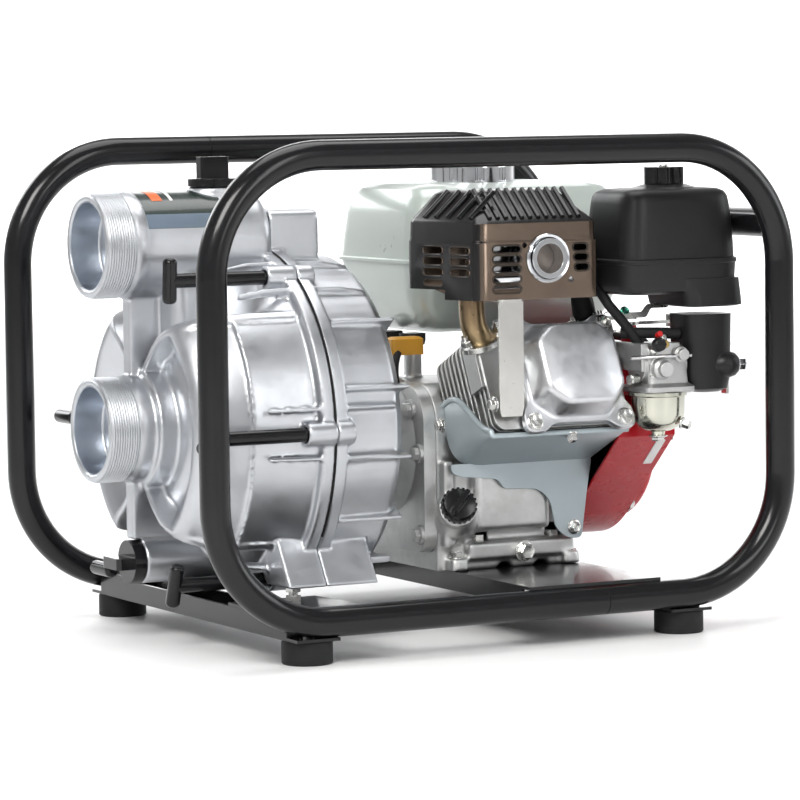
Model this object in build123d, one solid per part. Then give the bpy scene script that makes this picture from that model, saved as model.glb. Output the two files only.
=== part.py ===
"""Petrol-engine trash pump in a tube roll cage, as an assembly of separate parts.

Millimetres. +Z is up, -Y is the front (cylinder-head side), +X the starter end and -X the end with the
suction and discharge ports. The origin is the centre of the footprint, at floor level.
"""

import math
import os

from build123d import *

os.makedirs("parts", exist_ok=True)

# ---------------------------------------------------------------- roll cage
TUBE_OD = 25.4
TUBE_WALL = 2.0
LOOP_LENGTH = 547.3  # between the upright tubes' centre lines
LOOP_HEIGHT = 385.8  # between the bottom and top tubes' centre lines
LOOP_SPACING = 408.3  # between the front and rear loops' centre planes
LOOP_CORNER_R = 100.0
SEAM_GAP = 0.8
FRONT_SEAM_X = 92.4
REAR_SEAM_X = -84.8
CROSS_TUBE_Z = 354.0
FOOT_R = 21.5
FOOT_HEIGHT = 20.0
FOOT_INSET = 16.15  # from a loop's centre plane to its feet
LEFT_MEMBER_X = -184.0
RIGHT_MEMBER_X = 178.0
MEMBER_WIDTH = 40.0
MEMBER_HEIGHT = 18.0
MEMBER_WALL = 2.7
BOLT_R = 4.0
BOLT_CLEARANCE = 0.3
NUT_R = 7.2
NUT_HEIGHT = 6.5

# ---------------------------------------------------------------- shared axes
SHAFT_Y = 19.0
SHAFT_Z = 157.0
PORT_Z = 185.0
GAP = 0.3  # clearance between parts that move past each other
RUNNING = 0.05  # radial clearance of a running fit

# ---------------------------------------------------------------- pump
CASING_R = 150.0
CASING_WALL = 6.0
CASING_FLOOR_Z = 66.0
PARTING_X = -127.0
FLANGE_THICK = 12.0
FLANGE_LIP = 4.0
REAR_WALL_X = -56.0
PORT_R = 44.45
PORT_BORE_R = 38.0
THREAD_LENGTH = 30.0
PORT_HUB_R = 52.0
DISCHARGE_Z = 343.6
DISCHARGE_END_X = -129.0
FILL_NECK_X = -166.0
FILL_NECK_R = 20.0
FILL_BORE_R = 15.0
DRAIN_Z = 69.0
DRAIN_BOSS_R = 19.0
DRAIN_BORE_R = 11.0
CLAMP_CIRCLE_R = 150.0
CLAMP_COUNT = 6
CLAMP_ROD_R = 6.2
CLAMP_THREAD_R = 5.0
CLAMP_HANDLE_X = -243.0
CLAMP_HANDLE_LENGTH = 39.0
BOSS_R = 10.5
BOSS_FRONT_LENGTH = 28.0
BOSS_REAR_LENGTH = 17.0
ARM_CREST_X = -242.0
ARM_RIB_THICK = 6.0
ARM_ROOT = (0.0, 28.6)  # (y, z) from the port axis along the arm ribs' inner edge
ARM_MIDDLE = (58.0, 82.0)
ARM_TIP = (126.0, 96.0)
DOME_NOSE_X = -222.0
DOME_THROAT_X = -206.0
DOME_SHOULDER_X = -176.0
LEG_FRONT_X = -163.0
LEG_REAR_X = -78.0
LEG_FOOT_Z = 52.5
LEG_BOLT_X = -152.0
LEG_BOLT_Y = -99.0
IMPELLER_R = 64.0
VOLUTE_R = 82.0
VALVE_R = 42.0
VALVE_X = -236.0
VOLUTE_X0 = -118.0
REST_TURNS = (58, 4, -12, 90, 90, 20)  # degrees each clamp rod's handle stands turned at rest

# ---------------------------------------------------------------- engine
PLATE_X0 = 20.0
PLATE_X1 = 150.0
PLATE_THICK = 2.9
BASE_BOLT_X0 = 52.0
BASE_PITCH_X = 75.5
BASE_PITCH_Y = 162.0
BASE_CENTRE_Y = 28.0
BASE_X0 = 36.0
BASE_HEIGHT = 24.0
CASE_X0 = 10.0
CASE_X1 = 143.0
CASE_Y0 = -58.0
CASE_Y1 = 95.0
CASE_TOP_Z = 215.0
CASE_WALL = 8.0
COVER_THICK = 12.0
PTO_FACE_X = -22.0
PTO_R = 10.0
JOURNAL_R = 12.5
BEARING_R = 26.0
BEARING_LENGTH = 15.0
CYLINDER_X = 80.0
CYLINDER_TILT = 25.0
BORE_R = 34.0
STROKE = 54.0
ROD_LENGTH = 84.0
CRANKPIN_R = 15.0
ROD_WIDTH = 19.4
PISTON_CROWN = 22.0
PISTON_SKIRT = 14.0
DECK = 135.0  # from the crank axis to the cylinder head joint
FLYWHEEL_R = 72.0
FAN_COVER_R = 90.0
FAN_COVER_X = 215.0
RECOIL_R = 78.0
RECOIL_X = 238.0
PULLEY_R = 55.0
SHEET = 2.0
TANK_X0 = 25.0
TANK_X1 = 250.0
TANK_Y0 = 2.0
TANK_Y1 = 165.0
TANK_BOTTOM_Z = 256.0
TANK_SEAM_Z = 320.0
TANK_TOP_Z = 388.0
FUEL_CAP_X = 125.0
FUEL_CAP_Y = 80.0
FUEL_CAP_R = 39.0
FUEL_NECK_R = 26.0
GUARD_X0 = 8.0
GUARD_X1 = 129.0
GUARD_Y0 = -142.0
GUARD_Y1 = -46.0
GUARD_Z0 = 292.0
GUARD_BEND_Z = 341.0
GUARD_TOP_Z = 380.0
GUARD_SKEW = 20.0  # how far the guard's left wall leans out from front to rear
OUTLET_X = 77.0
OUTLET_Z = 327.0
AIR_X0 = 150.0
AIR_X1 = 254.0
AIR_Y0 = -172.0
AIR_Y1 = -88.0
AIR_SEAM_Z = 316.0
AIR_TOP_Z = 380.0
CARB_X0 = 160.0
CARB_X1 = 206.0
CARB_Y = -145.0
CARB_Z = 231.0
BOWL_R = 19.5
BOWL_X = 186.0
KNOB_X = 202.0
KNOB_Y = -130.0
FILTER_R = 34.0
FILTER_BORE_R = 22.0
LEVER_Z_CHOKE = 246.0
LEVER_Z_FUEL = 224.0
THROTTLE_X = 196.0
THROTTLE_Y = -78.0
THROTTLE_Z = 262.0
SWITCH_Y = -88.0
SWITCH_Z = 168.0
FIN_X0 = -56.0  # cylinder sizes from here on are in the bore's own frame
FIN_X1 = 60.0
FIN_V0 = -47.0
FIN_V1 = 48.0
FIN_THICK = 2.4
FIN_PITCH = 7.6
HEAD_X1 = 76.0
HEAD_TOP = 160.0
EXHAUST_BOSS_X0 = -60.0
COVER_X0 = -14.0
COVER_X1 = 78.0
COVER_V0 = -42.0
COVER_V1 = 48.0
PLUG_X = 64.0
PLUG_T = 147.0
EXHAUST_X = 34.0
EXHAUST_Y = -105.0
EXHAUST_SEAT_Z = 251.0
FILLER = Plane(origin=(18, -86, 113), x_dir=(1, -0.35, 0), z_dir=(-0.30, -0.86, 0.42))

# ---------------------------------------------------------------- derived places
TUBE_R = TUBE_OD / 2
LOOP_BOTTOM_Z = FOOT_HEIGHT + MEMBER_WALL + TUBE_R
LOOP_TOP_Z = LOOP_BOTTOM_Z + LOOP_HEIGHT
PORT_FACE_X = -(LOOP_LENGTH / 2 + TUBE_R)
TUBE_TOP_Z = LOOP_BOTTOM_Z + TUBE_R
TUBE_BOTTOM_Z = LOOP_BOTTOM_Z - TUBE_R
ENGINE_BASE_Z = TUBE_TOP_Z + PLATE_THICK
CASE_FLOOR_Z = ENGINE_BASE_Z + BASE_HEIGHT
FOOT_Y = LOOP_SPACING / 2 - FOOT_INSET
TUBE_INNER_Y = LOOP_SPACING / 2 - TUBE_R
CRANK_THROW = STROKE / 2
PIN_T = CRANK_THROW + ROD_LENGTH  # piston pin at top dead centre, along the bore axis
TAB_TOP_Z = FOOT_HEIGHT + MEMBER_HEIGHT + 3.0
VOLUTE_X1 = REAR_WALL_X - CASING_WALL
IMPELLER_X0 = VOLUTE_X0 + 10
IMPELLER_X1 = VOLUTE_X1 - 9


def cyl_x(radius, x0, x1, y=SHAFT_Y, z=SHAFT_Z):
    """Round bar along X."""
    return Pos((x0 + x1) / 2, y, z) * Rot(0, 90, 0) * Cylinder(radius, abs(x1 - x0))


def cyl_y(radius, y0, y1, x, z):
    """Round bar along Y."""
    return Pos(x, (y0 + y1) / 2, z) * Rot(90, 0, 0) * Cylinder(radius, abs(y1 - y0))


def cyl_z(radius, z0, z1, x, y):
    """Round bar along Z."""
    return Pos(x, y, (z0 + z1) / 2) * Cylinder(radius, abs(z1 - z0))


def slab(x0, x1, y0, y1, z0, z1):
    """Box between two corners."""
    centre = Pos((x0 + x1) / 2, (y0 + y1) / 2, (z0 + z1) / 2)
    return centre * Box(abs(x1 - x0), abs(y1 - y0), abs(z1 - z0))


def prism_x(points, x0, x1):
    """Polygon of (y, z) points, drawn out along X."""
    return extrude(Plane.YZ.offset(x0) * Polygon(*points, align=None), x1 - x0, dir=(1, 0, 0))


def prism_y(points, y0, y1):
    """Polygon of (x, z) points, drawn out along Y."""
    return extrude(Plane.XZ.offset(-y0) * Polygon(*points, align=None), y1 - y0, dir=(0, 1, 0))


def prism_z(points, z0, z1):
    """Polygon of (x, y) points, drawn out along Z."""
    return extrude(Plane.XY.offset(z0) * Polygon(*points, align=None), z1 - z0, dir=(0, 0, 1))


def turned_x(profile, y=SHAFT_Y, z=SHAFT_Z):
    """Solid of revolution about an X axis from (x, radius) points."""
    face = Plane.XZ * Polygon(*profile, align=None)
    return Pos(0, y, z) * revolve(face, Axis.X)


def turned_z(profile, x, y):
    """Solid of revolution about a Z axis from (radius, z) points."""
    face = Plane.XZ * Polygon(*profile, align=None)
    return Pos(x, y, 0) * revolve(face, Axis.Z)


def hexagon_z(radius, z0, z1, x, y):
    """Hexagon bar along Z; radius is to the corners."""
    sketch = Plane.XY.offset(z0) * (Pos(x, y) * RegularPolygon(radius, 6))
    return extrude(sketch, z1 - z0)


BORE = Plane(
    origin=(CYLINDER_X, SHAFT_Y, SHAFT_Z),
    x_dir=(1, 0, 0),
    z_dir=(0, -math.cos(math.radians(CYLINDER_TILT)), math.sin(math.radians(CYLINDER_TILT))),
)


def bore_slab(x0, x1, v0, v1, t0, t1):
    """Box in the tilted bore frame: across X, up the slope (v) and along the bore (t)."""
    box = Pos((x0 + x1) / 2, (v0 + v1) / 2, (t0 + t1) / 2) * Box(x1 - x0, v1 - v0, t1 - t0)
    return BORE * box


def bore_cyl(radius, t0, t1, x=0.0, v=0.0):
    """Round bar parallel to the cylinder bore."""
    return BORE * (Pos(x, v, (t0 + t1) / 2) * Cylinder(radius, t1 - t0))


def bore_point(x, v, t):
    """Row-frame point of a place in the bore frame."""
    return BORE.from_local_coords(Vector(x, v, t))


def save(node, shape):
    """Write one node, named."""
    shape.label = node
    export_step(shape, f"parts/{node}.step")


def together(solids):
    """Separate solids kept as one node."""
    return Compound(children=[s for shape in solids for s in shape.solids()])


# ================================================================ roll cage
def loop_run(y, seam_x, seam_low, outer, inner, gap):
    """Rounded tube loop that starts and ends at its butt joint."""
    half = LOOP_LENGTH / 2
    near_z, far_z = (LOOP_BOTTOM_Z, LOOP_TOP_Z) if seam_low else (LOOP_TOP_Z, LOOP_BOTTOM_Z)
    corners = [
        (seam_x + gap / 2, y, near_z),
        (half, y, near_z),
        (half, y, far_z),
        (-half, y, far_z),
        (-half, y, near_z),
        (seam_x - gap / 2, y, near_z),
    ]
    path = FilletPolyline(*corners, radius=LOOP_CORNER_R)
    section = Circle(outer)
    if inner:
        section -= Circle(inner)
    start = Plane(origin=path @ 0, z_dir=path % 0)
    return sweep(start * section, path=path)


def frame_loop(front):
    """One bent tube loop of the cage."""
    y = -LOOP_SPACING / 2 if front else LOOP_SPACING / 2
    seam_x = FRONT_SEAM_X if front else REAR_SEAM_X
    return loop_run(y, seam_x, front, TUBE_R, TUBE_R - TUBE_WALL, SEAM_GAP)


def cross_tube_upper():
    """Spreader tube between the loops' upper right bends, coped to them."""
    drop = CROSS_TUBE_Z - (LOOP_TOP_Z - LOOP_CORNER_R)
    x = LOOP_LENGTH / 2 - LOOP_CORNER_R + math.sqrt(LOOP_CORNER_R**2 - drop**2)
    y = LOOP_SPACING / 2
    tube = cyl_y(TUBE_R, -y, y, x, CROSS_TUBE_Z) - cyl_y(TUBE_R - TUBE_WALL, -y, y, x, CROSS_TUBE_Z)
    for side in (-1, 1):
        tube -= loop_run(side * y, 0, True, TUBE_R, 0, SEAM_GAP)
    return tube


def cross_member(x):
    """Channel under both bottom tubes, with the foot bolt holes."""
    half = MEMBER_WIDTH / 2
    end = LOOP_SPACING / 2 + TUBE_R / 2
    channel = slab(x - half, x + half, -end, end, FOOT_HEIGHT, TUBE_BOTTOM_Z)
    for side in (-1, 1):
        edge = x + side * (half - MEMBER_WALL / 2)
        inner = TUBE_INNER_Y - 1
        top = FOOT_HEIGHT + MEMBER_HEIGHT
        channel += slab(edge - MEMBER_WALL / 2, edge + MEMBER_WALL / 2, -inner, inner, FOOT_HEIGHT, top)
        channel -= cyl_z(BOLT_R + BOLT_CLEARANCE, 0, TUBE_BOTTOM_Z + 1, x, side * FOOT_Y)
    return channel


def foot_places():
    """Centres of the four feet."""
    return [(x, y) for x in (LEFT_MEMBER_X, RIGHT_MEMBER_X) for y in (-FOOT_Y, FOOT_Y)]


def rubber_feet():
    """Four round feet with a recess for the bolt's nut."""
    feet = []
    for x, y in foot_places():
        foot = cyl_z(FOOT_R, 0, FOOT_HEIGHT, x, y)
        foot = chamfer(foot.edges().filter_by(GeomType.CIRCLE), 1.2)
        foot -= cyl_z(BOLT_R + BOLT_CLEARANCE, -1, FOOT_HEIGHT + 1, x, y)
        foot -= cyl_z(NUT_R + 1.5, -1, NUT_HEIGHT + 3, x, y)
        feet.append(foot)
    return together(feet)


def foot_bolts():
    """Low-head bolts through member and foot, each with its nut."""
    bolts = []
    for x, y in foot_places():
        bolt = cyl_z(BOLT_R, 3, TUBE_BOTTOM_Z, x, y)
        bolt += cyl_z(BOLT_R + 2, TUBE_BOTTOM_Z, TUBE_BOTTOM_Z + 4, x, y)
        bolt += hexagon_z(NUT_R, 3, NUT_HEIGHT + 3, x, y)
        bolts.append(bolt)
    return together(bolts)


def base_bolt_places():
    """Centres of the engine's four base bolts."""
    xs = (BASE_BOLT_X0, BASE_BOLT_X0 + BASE_PITCH_X)
    ys = (BASE_CENTRE_Y - BASE_PITCH_Y / 2, BASE_CENTRE_Y + BASE_PITCH_Y / 2)
    return [(x, y) for x in xs for y in ys]


def engine_mount_plate():
    """Plate across the bottom tubes with turned-down edges."""
    y = LOOP_SPACING / 2
    inner = TUBE_INNER_Y - 1
    plate = slab(PLATE_X0, PLATE_X1, -y, y, TUBE_TOP_Z, ENGINE_BASE_Z)
    for edge in (PLATE_X0, PLATE_X1 - PLATE_THICK):
        plate += slab(edge, edge + PLATE_THICK, -inner, inner, TUBE_TOP_Z - 14, ENGINE_BASE_Z)
    for x, y in base_bolt_places():
        plate -= cyl_z(BOLT_R + BOLT_CLEARANCE, TUBE_TOP_Z - 1, ENGINE_BASE_Z + 1, x, y)
    return plate


def leg_bolt_places():
    """Centres of the studs under the pump's two legs."""
    return [(LEG_BOLT_X, LEG_BOLT_Y), (LEG_BOLT_X, 2 * SHAFT_Y - LEG_BOLT_Y)]


def pump_mount_tabs():
    """Plates from the bottom tubes and the left member to the pump's legs."""
    tabs = []
    x0 = LEFT_MEMBER_X - MEMBER_WIDTH / 2
    x1 = LEG_BOLT_X + 30
    for side, (x, y) in zip((-1, 1), leg_bolt_places()):
        inner = side * (abs(y) - 20)
        outer = side * TUBE_INNER_Y
        points = [(x0, outer), (x0, inner), (x1, inner), (x1 + 15, outer)]
        tab = prism_z(points, TAB_TOP_Z - 3, TAB_TOP_Z)
        tab -= cyl_z(BOLT_R + BOLT_CLEARANCE, TAB_TOP_Z - 5, TAB_TOP_Z + 1, x, y)
        tabs.append(tab)
    return together(tabs)


def mounting_bolts():
    """Engine base bolts with nuts, and the pump legs' studs with nuts."""
    bolts = []
    for x, y in base_bolt_places():
        bolt = cyl_z(BOLT_R, TUBE_TOP_Z - 10, CASE_FLOOR_Z, x, y)
        bolt += hexagon_z(NUT_R, CASE_FLOOR_Z, CASE_FLOOR_Z + 5.5, x, y)
        bolt += hexagon_z(NUT_R, TUBE_TOP_Z - NUT_HEIGHT, TUBE_TOP_Z, x, y)
        bolts.append(bolt)
    for x, y in leg_bolt_places():
        stud = cyl_z(BOLT_R, TAB_TOP_Z - 12, LEG_FOOT_Z + 14, x, y)
        stud += hexagon_z(NUT_R, TAB_TOP_Z, TAB_TOP_Z + 4, x, y)
        stud += hexagon_z(NUT_R, LEG_FOOT_Z - 4, LEG_FOOT_Z, x, y)
        bolts.append(stud)
    return together(bolts)


# ================================================================ pump
def clamp_angles():
    """Angles of the clamp rods about the port axis, from +Y."""
    return [180 + 360 * i / CLAMP_COUNT for i in range(CLAMP_COUNT)]


def clamp_places():
    """(y, z) of each clamp rod."""
    places = []
    for angle in clamp_angles():
        y = SHAFT_Y + CLAMP_CIRCLE_R * math.cos(math.radians(angle))
        z = PORT_Z - CLAMP_CIRCLE_R * math.sin(math.radians(angle))
        places.append((y, z))
    return places


def above_floor(shape, floor_z):
    """Cut a casing flat at the bottom."""
    return shape - slab(-400, 100, -300, 300, -200, floor_z)


def leg(x0, x1):
    """Both wedge-shaped legs, front and rear, between two X planes."""
    profile = [(-76, 116), (-115, LEG_FOOT_Z), (-68, LEG_FOOT_Z), (-46, 78), (-30, 116)]
    rear = [(2 * SHAFT_Y - y, z) for y, z in profile]
    return prism_x(profile, x0, x1) + prism_x(rear, x0, x1)


def leg_holes():
    """Blind stud holes in both legs."""
    holes = []
    for x, y in leg_bolt_places():
        holes.append(cyl_z(BOLT_R, LEG_FOOT_Z - 1, LEG_FOOT_Z + 14, x, y))
    return holes


def lens_ribs(x0, x1, reach):
    """Thin ribs that taper away from each clamp boss, one either side of it."""
    ribs = []
    for angle in clamp_angles():
        for side in (-1, 1):
            turn = angle + side * 8.0
            points = [(x0, reach - 7), (x0, reach), ((x0 + x1) / 2, reach - 1)]
            points += [(x1, reach - 6), (x1, reach - 12)]
            fin = prism_y(points, -1.6, 1.6)
            ribs.append(Pos(0, SHAFT_Y, PORT_Z) * Rot(-(turn + 90), 0, 0) * fin)
    return ribs


def arm_rib(up, front):
    """Curved rib that sweeps from the suction hub out to the casing's shoulder."""
    inner_arc = ThreePointArc(ARM_ROOT, ARM_MIDDLE, ARM_TIP)
    path = zip((ARM_ROOT, ARM_MIDDLE, ARM_TIP), (0, 3, 0))
    outer_arc = ThreePointArc(*[(y - lean, z + ARM_RIB_THICK) for (y, z), lean in path])
    outline = inner_arc + outer_arc + Line(inner_arc @ 0, outer_arc @ 0) + Line(inner_arc @ 1, outer_arc @ 1)
    depth = PARTING_X - FLANGE_THICK + 2 - ARM_CREST_X
    band = extrude(Plane.YZ.offset(ARM_CREST_X) * make_face(outline), depth, dir=(1, 0, 0))
    if front:
        band = mirror(band, Plane.XZ)
    if not up:
        band = mirror(band, Plane.XY)
    return Pos(0, SHAFT_Y, PORT_Z) * band


def turned_face_x(edges, z):
    """Solid of revolution about an X axis through the port height from joined (x, radius) edges."""
    return Pos(0, SHAFT_Y, z) * revolve(Plane.XZ * make_face(edges), Axis.X)


def front_dome(inset):
    """Front casing's smooth dome; inset gives its hollow."""
    flange_x = PARTING_X - FLANGE_THICK
    nose = (DOME_NOSE_X + inset, 0)
    neck = (DOME_NOSE_X + inset, PORT_HUB_R - inset)
    rim = (flange_x, CASING_R - 5 - inset)
    throat = (DOME_THROAT_X + inset, 78 - inset * 0.6)
    shoulder = (DOME_SHOULDER_X + inset, 124 - inset)
    curve = Spline(neck, throat, shoulder, rim, tangents=((1, 0.8), (1, 0.12)))
    rest = Polyline(rim, (PARTING_X, CASING_R - 5 - inset), (PARTING_X, 0), nose, neck)
    return turned_face_x(curve + rest, PORT_Z)


def bulge_envelope(inset):
    """Turned body that limits the side pockets' bulge between the arm ribs."""
    hub = (DOME_NOSE_X - 3 + inset, 0)
    neck = (DOME_NOSE_X - 3 + inset, 60)
    crease = (DOME_NOSE_X + 1 + inset, 74)
    crest = (ARM_CREST_X + 4 + inset, 106 - inset * 0.5)
    shoulder = (-196 + inset * 0.5, 134 - inset)
    rim = (PARTING_X, CASING_R - 4 - inset)
    curve = Spline(neck, crease, crest, shoulder, rim, tangents=((0, 1), (1, 0.12)))
    rest = Polyline(rim, (PARTING_X, 0), hub, neck)
    return turned_face_x(curve + rest, PORT_Z)


def side_bulges(inset):
    """Both side pockets of the front casing, each between its upper and lower arm ribs."""
    mirrored = [(y, -z) for y, z in (ARM_ROOT, ARM_MIDDLE, ARM_TIP)]
    arcs = [ThreePointArc(ARM_ROOT, ARM_MIDDLE, ARM_TIP), ThreePointArc(*mirrored)]
    far = CASING_R + 5
    outside = Polyline(ARM_TIP, (far, ARM_TIP[1]), (far, -ARM_TIP[1]), (ARM_TIP[0], -ARM_TIP[1]))
    root = Line(ARM_ROOT, (ARM_ROOT[0], -ARM_ROOT[1]))
    face = make_face(arcs[0] + arcs[1] + outside + root)
    if inset:
        face = offset(face, -inset)
    depth = PARTING_X - ARM_CREST_X
    block = extrude(Plane.YZ.offset(ARM_CREST_X) * face, depth, dir=(1, 0, 0))
    both = Pos(0, SHAFT_Y, PORT_Z) * (block + mirror(block, Plane.XZ))
    return both & bulge_envelope(inset)


def rib_envelope():
    """Turned body that sets how far the arm ribs stand out."""
    nose = (ARM_CREST_X, 0)
    neck = (ARM_CREST_X, 92)
    rim = (PARTING_X, CASING_R - 2)
    curve = Spline(neck, (-231, 118), (-196, 138), rim, tangents=((0.2, 1), (1, 0.12)))
    rest = Polyline(rim, (PARTING_X, 0), nose, neck)
    return turned_face_x(curve + rest, PORT_Z)


def discharge_pipe():
    """Discharge pipe's outside, its rounded end and the riser that feeds it."""
    thread_end = PORT_FACE_X + THREAD_LENGTH
    pipe = cyl_x(PORT_R + 0.8, thread_end, DISCHARGE_END_X, z=DISCHARGE_Z)
    pipe = fillet(pipe.edges().filter_by(GeomType.CIRCLE).sort_by(Axis.X)[-1], 9)
    pipe += cyl_x(PORT_R, PORT_FACE_X, thread_end, z=DISCHARGE_Z)
    riser = slab(-222, DISCHARGE_END_X - 8, SHAFT_Y - 40, SHAFT_Y + 40, 262, DISCHARGE_Z)
    riser = fillet(riser.edges().filter_by(Axis.Z), 12)
    return pipe + riser


def pump_front_casing():
    """Front casting: both ports, dome, ribs, fill neck, drain boss, clamp bosses and leg halves."""
    flange_x = PARTING_X - FLANGE_THICK
    body = front_dome(0) + side_bulges(0)
    ribs = arm_rib(True, True) + arm_rib(True, False) + arm_rib(False, True) + arm_rib(False, False)
    body += ribs & rib_envelope()
    body += cyl_x(CASING_R + FLANGE_LIP, flange_x, PARTING_X, z=PORT_Z)
    body = above_floor(body, CASING_FLOOR_Z)
    body += cyl_x(PORT_HUB_R, -243, -215, z=PORT_Z)
    body += cyl_x(PORT_R - 1.2, PORT_FACE_X + THREAD_LENGTH, -240, z=PORT_Z)
    body += cyl_x(PORT_R, PORT_FACE_X, PORT_FACE_X + THREAD_LENGTH, z=PORT_Z)
    body += cyl_x(PORT_R + 1.5, -246, -242, z=PORT_Z)
    body += discharge_pipe()
    body += slab(-251, -200, SHAFT_Y - 8, SHAFT_Y + 8, PORT_Z + PORT_HUB_R - 12, DISCHARGE_Z - PORT_R + 8)
    rib_foot = DRAIN_Z + DRAIN_BOSS_R + 1
    body += slab(-251, -205, SHAFT_Y - 8, SHAFT_Y + 8, rib_foot, PORT_Z - PORT_HUB_R + 12)
    body += cyl_z(FILL_NECK_R, DISCHARGE_Z, 392, FILL_NECK_X, SHAFT_Y)
    body += cyl_x(DRAIN_BOSS_R, -243, -170, z=DRAIN_Z)
    body += leg(LEG_FRONT_X, PARTING_X)
    for y, z in clamp_places():
        body += cyl_x(BOSS_R, PARTING_X - BOSS_FRONT_LENGTH, PARTING_X, y, z)
        body += slab(flange_x, PARTING_X, min(y, SHAFT_Y), max(y, SHAFT_Y), z - 8, z + 8) & cyl_x(
            CLAMP_CIRCLE_R, flange_x, PARTING_X, z=PORT_Z
        )
    for rib in lens_ribs(PARTING_X - FLANGE_THICK, PARTING_X - 60, CASING_R + FLANGE_LIP):
        body += rib
    cavity = front_dome(CASING_WALL) + side_bulges(CASING_WALL)
    cavity = above_floor(cavity, CASING_FLOOR_Z + CASING_WALL)
    body -= cavity
    body -= cyl_x(PORT_BORE_R, PORT_FACE_X - 1, -200, z=PORT_Z)
    body -= cyl_x(VALVE_R + 4, VALVE_X - 4, -200, z=PORT_Z)
    body -= cyl_x(PORT_BORE_R, PORT_FACE_X - 1, DISCHARGE_END_X - 6, z=DISCHARGE_Z)
    body -= slab(-212, DISCHARGE_END_X - 18, SHAFT_Y - 30, SHAFT_Y + 30, 240, DISCHARGE_Z)
    body -= cyl_z(FILL_BORE_R, DISCHARGE_Z, 393, FILL_NECK_X, SHAFT_Y)
    body -= cyl_x(DRAIN_BORE_R, -244, -165, z=DRAIN_Z)
    for y, z in clamp_places():
        body -= cyl_x(CLAMP_ROD_R + GAP, PARTING_X - BOSS_FRONT_LENGTH - 1, PARTING_X + 1, y, z)
    for hole in leg_holes():
        body -= hole
    return body


def rear_profile(inset):
    """(x, r) outline of the rear housing from the parting plane to its back wall."""
    return [
        (PARTING_X, 0),
        (PARTING_X, CASING_R - 2 - inset),
        (REAR_WALL_X - 8 - inset, CASING_R - 5 - inset),
        (REAR_WALL_X - inset, CASING_R - 12 - inset),
        (REAR_WALL_X - inset, 0),
    ]


def pump_rear_housing():
    """Rear housing: barrel, back wall, ribs, clamp bosses, lifting lug and leg halves."""
    body = turned_x(rear_profile(0), z=PORT_Z)
    body += cyl_x(CASING_R + FLANGE_LIP, PARTING_X, PARTING_X + FLANGE_THICK, z=PORT_Z)
    for degrees in (38, 14, -9, -31, 142, 166, 189, 211):
        rib = slab(PARTING_X, REAR_WALL_X + 4, -1.75, 1.75, CASING_R - 16, CASING_R + 2)
        body += Pos(0, SHAFT_Y, PORT_Z) * Rot(90 - degrees, 0, 0) * rib
    body = above_floor(body, CASING_FLOOR_Z)
    body += slab(PARTING_X, REAR_WALL_X + 4, -88, 126, CASING_FLOOR_Z, CASING_FLOOR_Z + CASING_WALL)
    body += leg(PARTING_X, LEG_REAR_X)
    lug = slab(PARTING_X, -80, SHAFT_Y - 32, SHAFT_Y + 32, 318, 371)
    lug = fillet(lug.edges().filter_by(Axis.Y).sort_by(Axis.X)[-1], 14)
    body += fillet(lug.edges().filter_by(Axis.X).group_by(Axis.Z)[-1], 8)
    for y, z in clamp_places():
        body += cyl_x(BOSS_R, PARTING_X, PARTING_X + BOSS_REAR_LENGTH, y, z)
        arm = slab(PARTING_X, PARTING_X + FLANGE_THICK, min(y, SHAFT_Y), max(y, SHAFT_Y), z - 8, z + 8)
        body += arm & cyl_x(CLAMP_CIRCLE_R, PARTING_X, PARTING_X + FLANGE_THICK, z=PORT_Z)
    for rib in lens_ribs(PARTING_X + FLANGE_THICK, PARTING_X + 62, CASING_R + FLANGE_LIP):
        body += rib
    cavity = turned_x(rear_profile(CASING_WALL), z=PORT_Z)
    body -= above_floor(cavity, CASING_FLOOR_Z + CASING_WALL)
    body -= cyl_x(PTO_R + 14, REAR_WALL_X - CASING_WALL - 1, REAR_WALL_X + 1)
    for y, z in clamp_places():
        body -= cyl_x(CLAMP_THREAD_R + GAP, PARTING_X - 1, PARTING_X + BOSS_REAR_LENGTH - 3, y, z)
    return body


def casing_seal_ring():
    """Rubber ring between the two casing halves, in a groove of the rear half's inner edge."""
    outer = CASING_R - 2 - CASING_WALL - GAP
    ring = cyl_x(outer, PARTING_X, PARTING_X + 5, z=PORT_Z)
    ring -= cyl_x(outer - 4, PARTING_X, PARTING_X + 5, z=PORT_Z)
    return above_floor(ring, CASING_FLOOR_Z + CASING_WALL)


def volute():
    """Cast-iron volute around the impeller, with its eye and its upward outlet."""
    body = cyl_x(VOLUTE_R, VOLUTE_X0, VOLUTE_X1)
    body += slab(VOLUTE_X0, VOLUTE_X1, SHAFT_Y + 30, SHAFT_Y + VOLUTE_R, SHAFT_Z, SHAFT_Z + 96)
    body -= cyl_x(IMPELLER_R + 8, VOLUTE_X0 + 6, VOLUTE_X1 - 6, SHAFT_Y + 4, SHAFT_Z + 4)
    body -= slab(VOLUTE_X0 + 6, VOLUTE_X1 - 6, SHAFT_Y + 38, SHAFT_Y + 72, SHAFT_Z + 10, SHAFT_Z + 97)
    body -= cyl_x(34, VOLUTE_X0 - 1, VOLUTE_X0 + 7)
    body -= cyl_x(PTO_R + 14, VOLUTE_X1 - 7, VOLUTE_X1 + 1)
    return body


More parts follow.
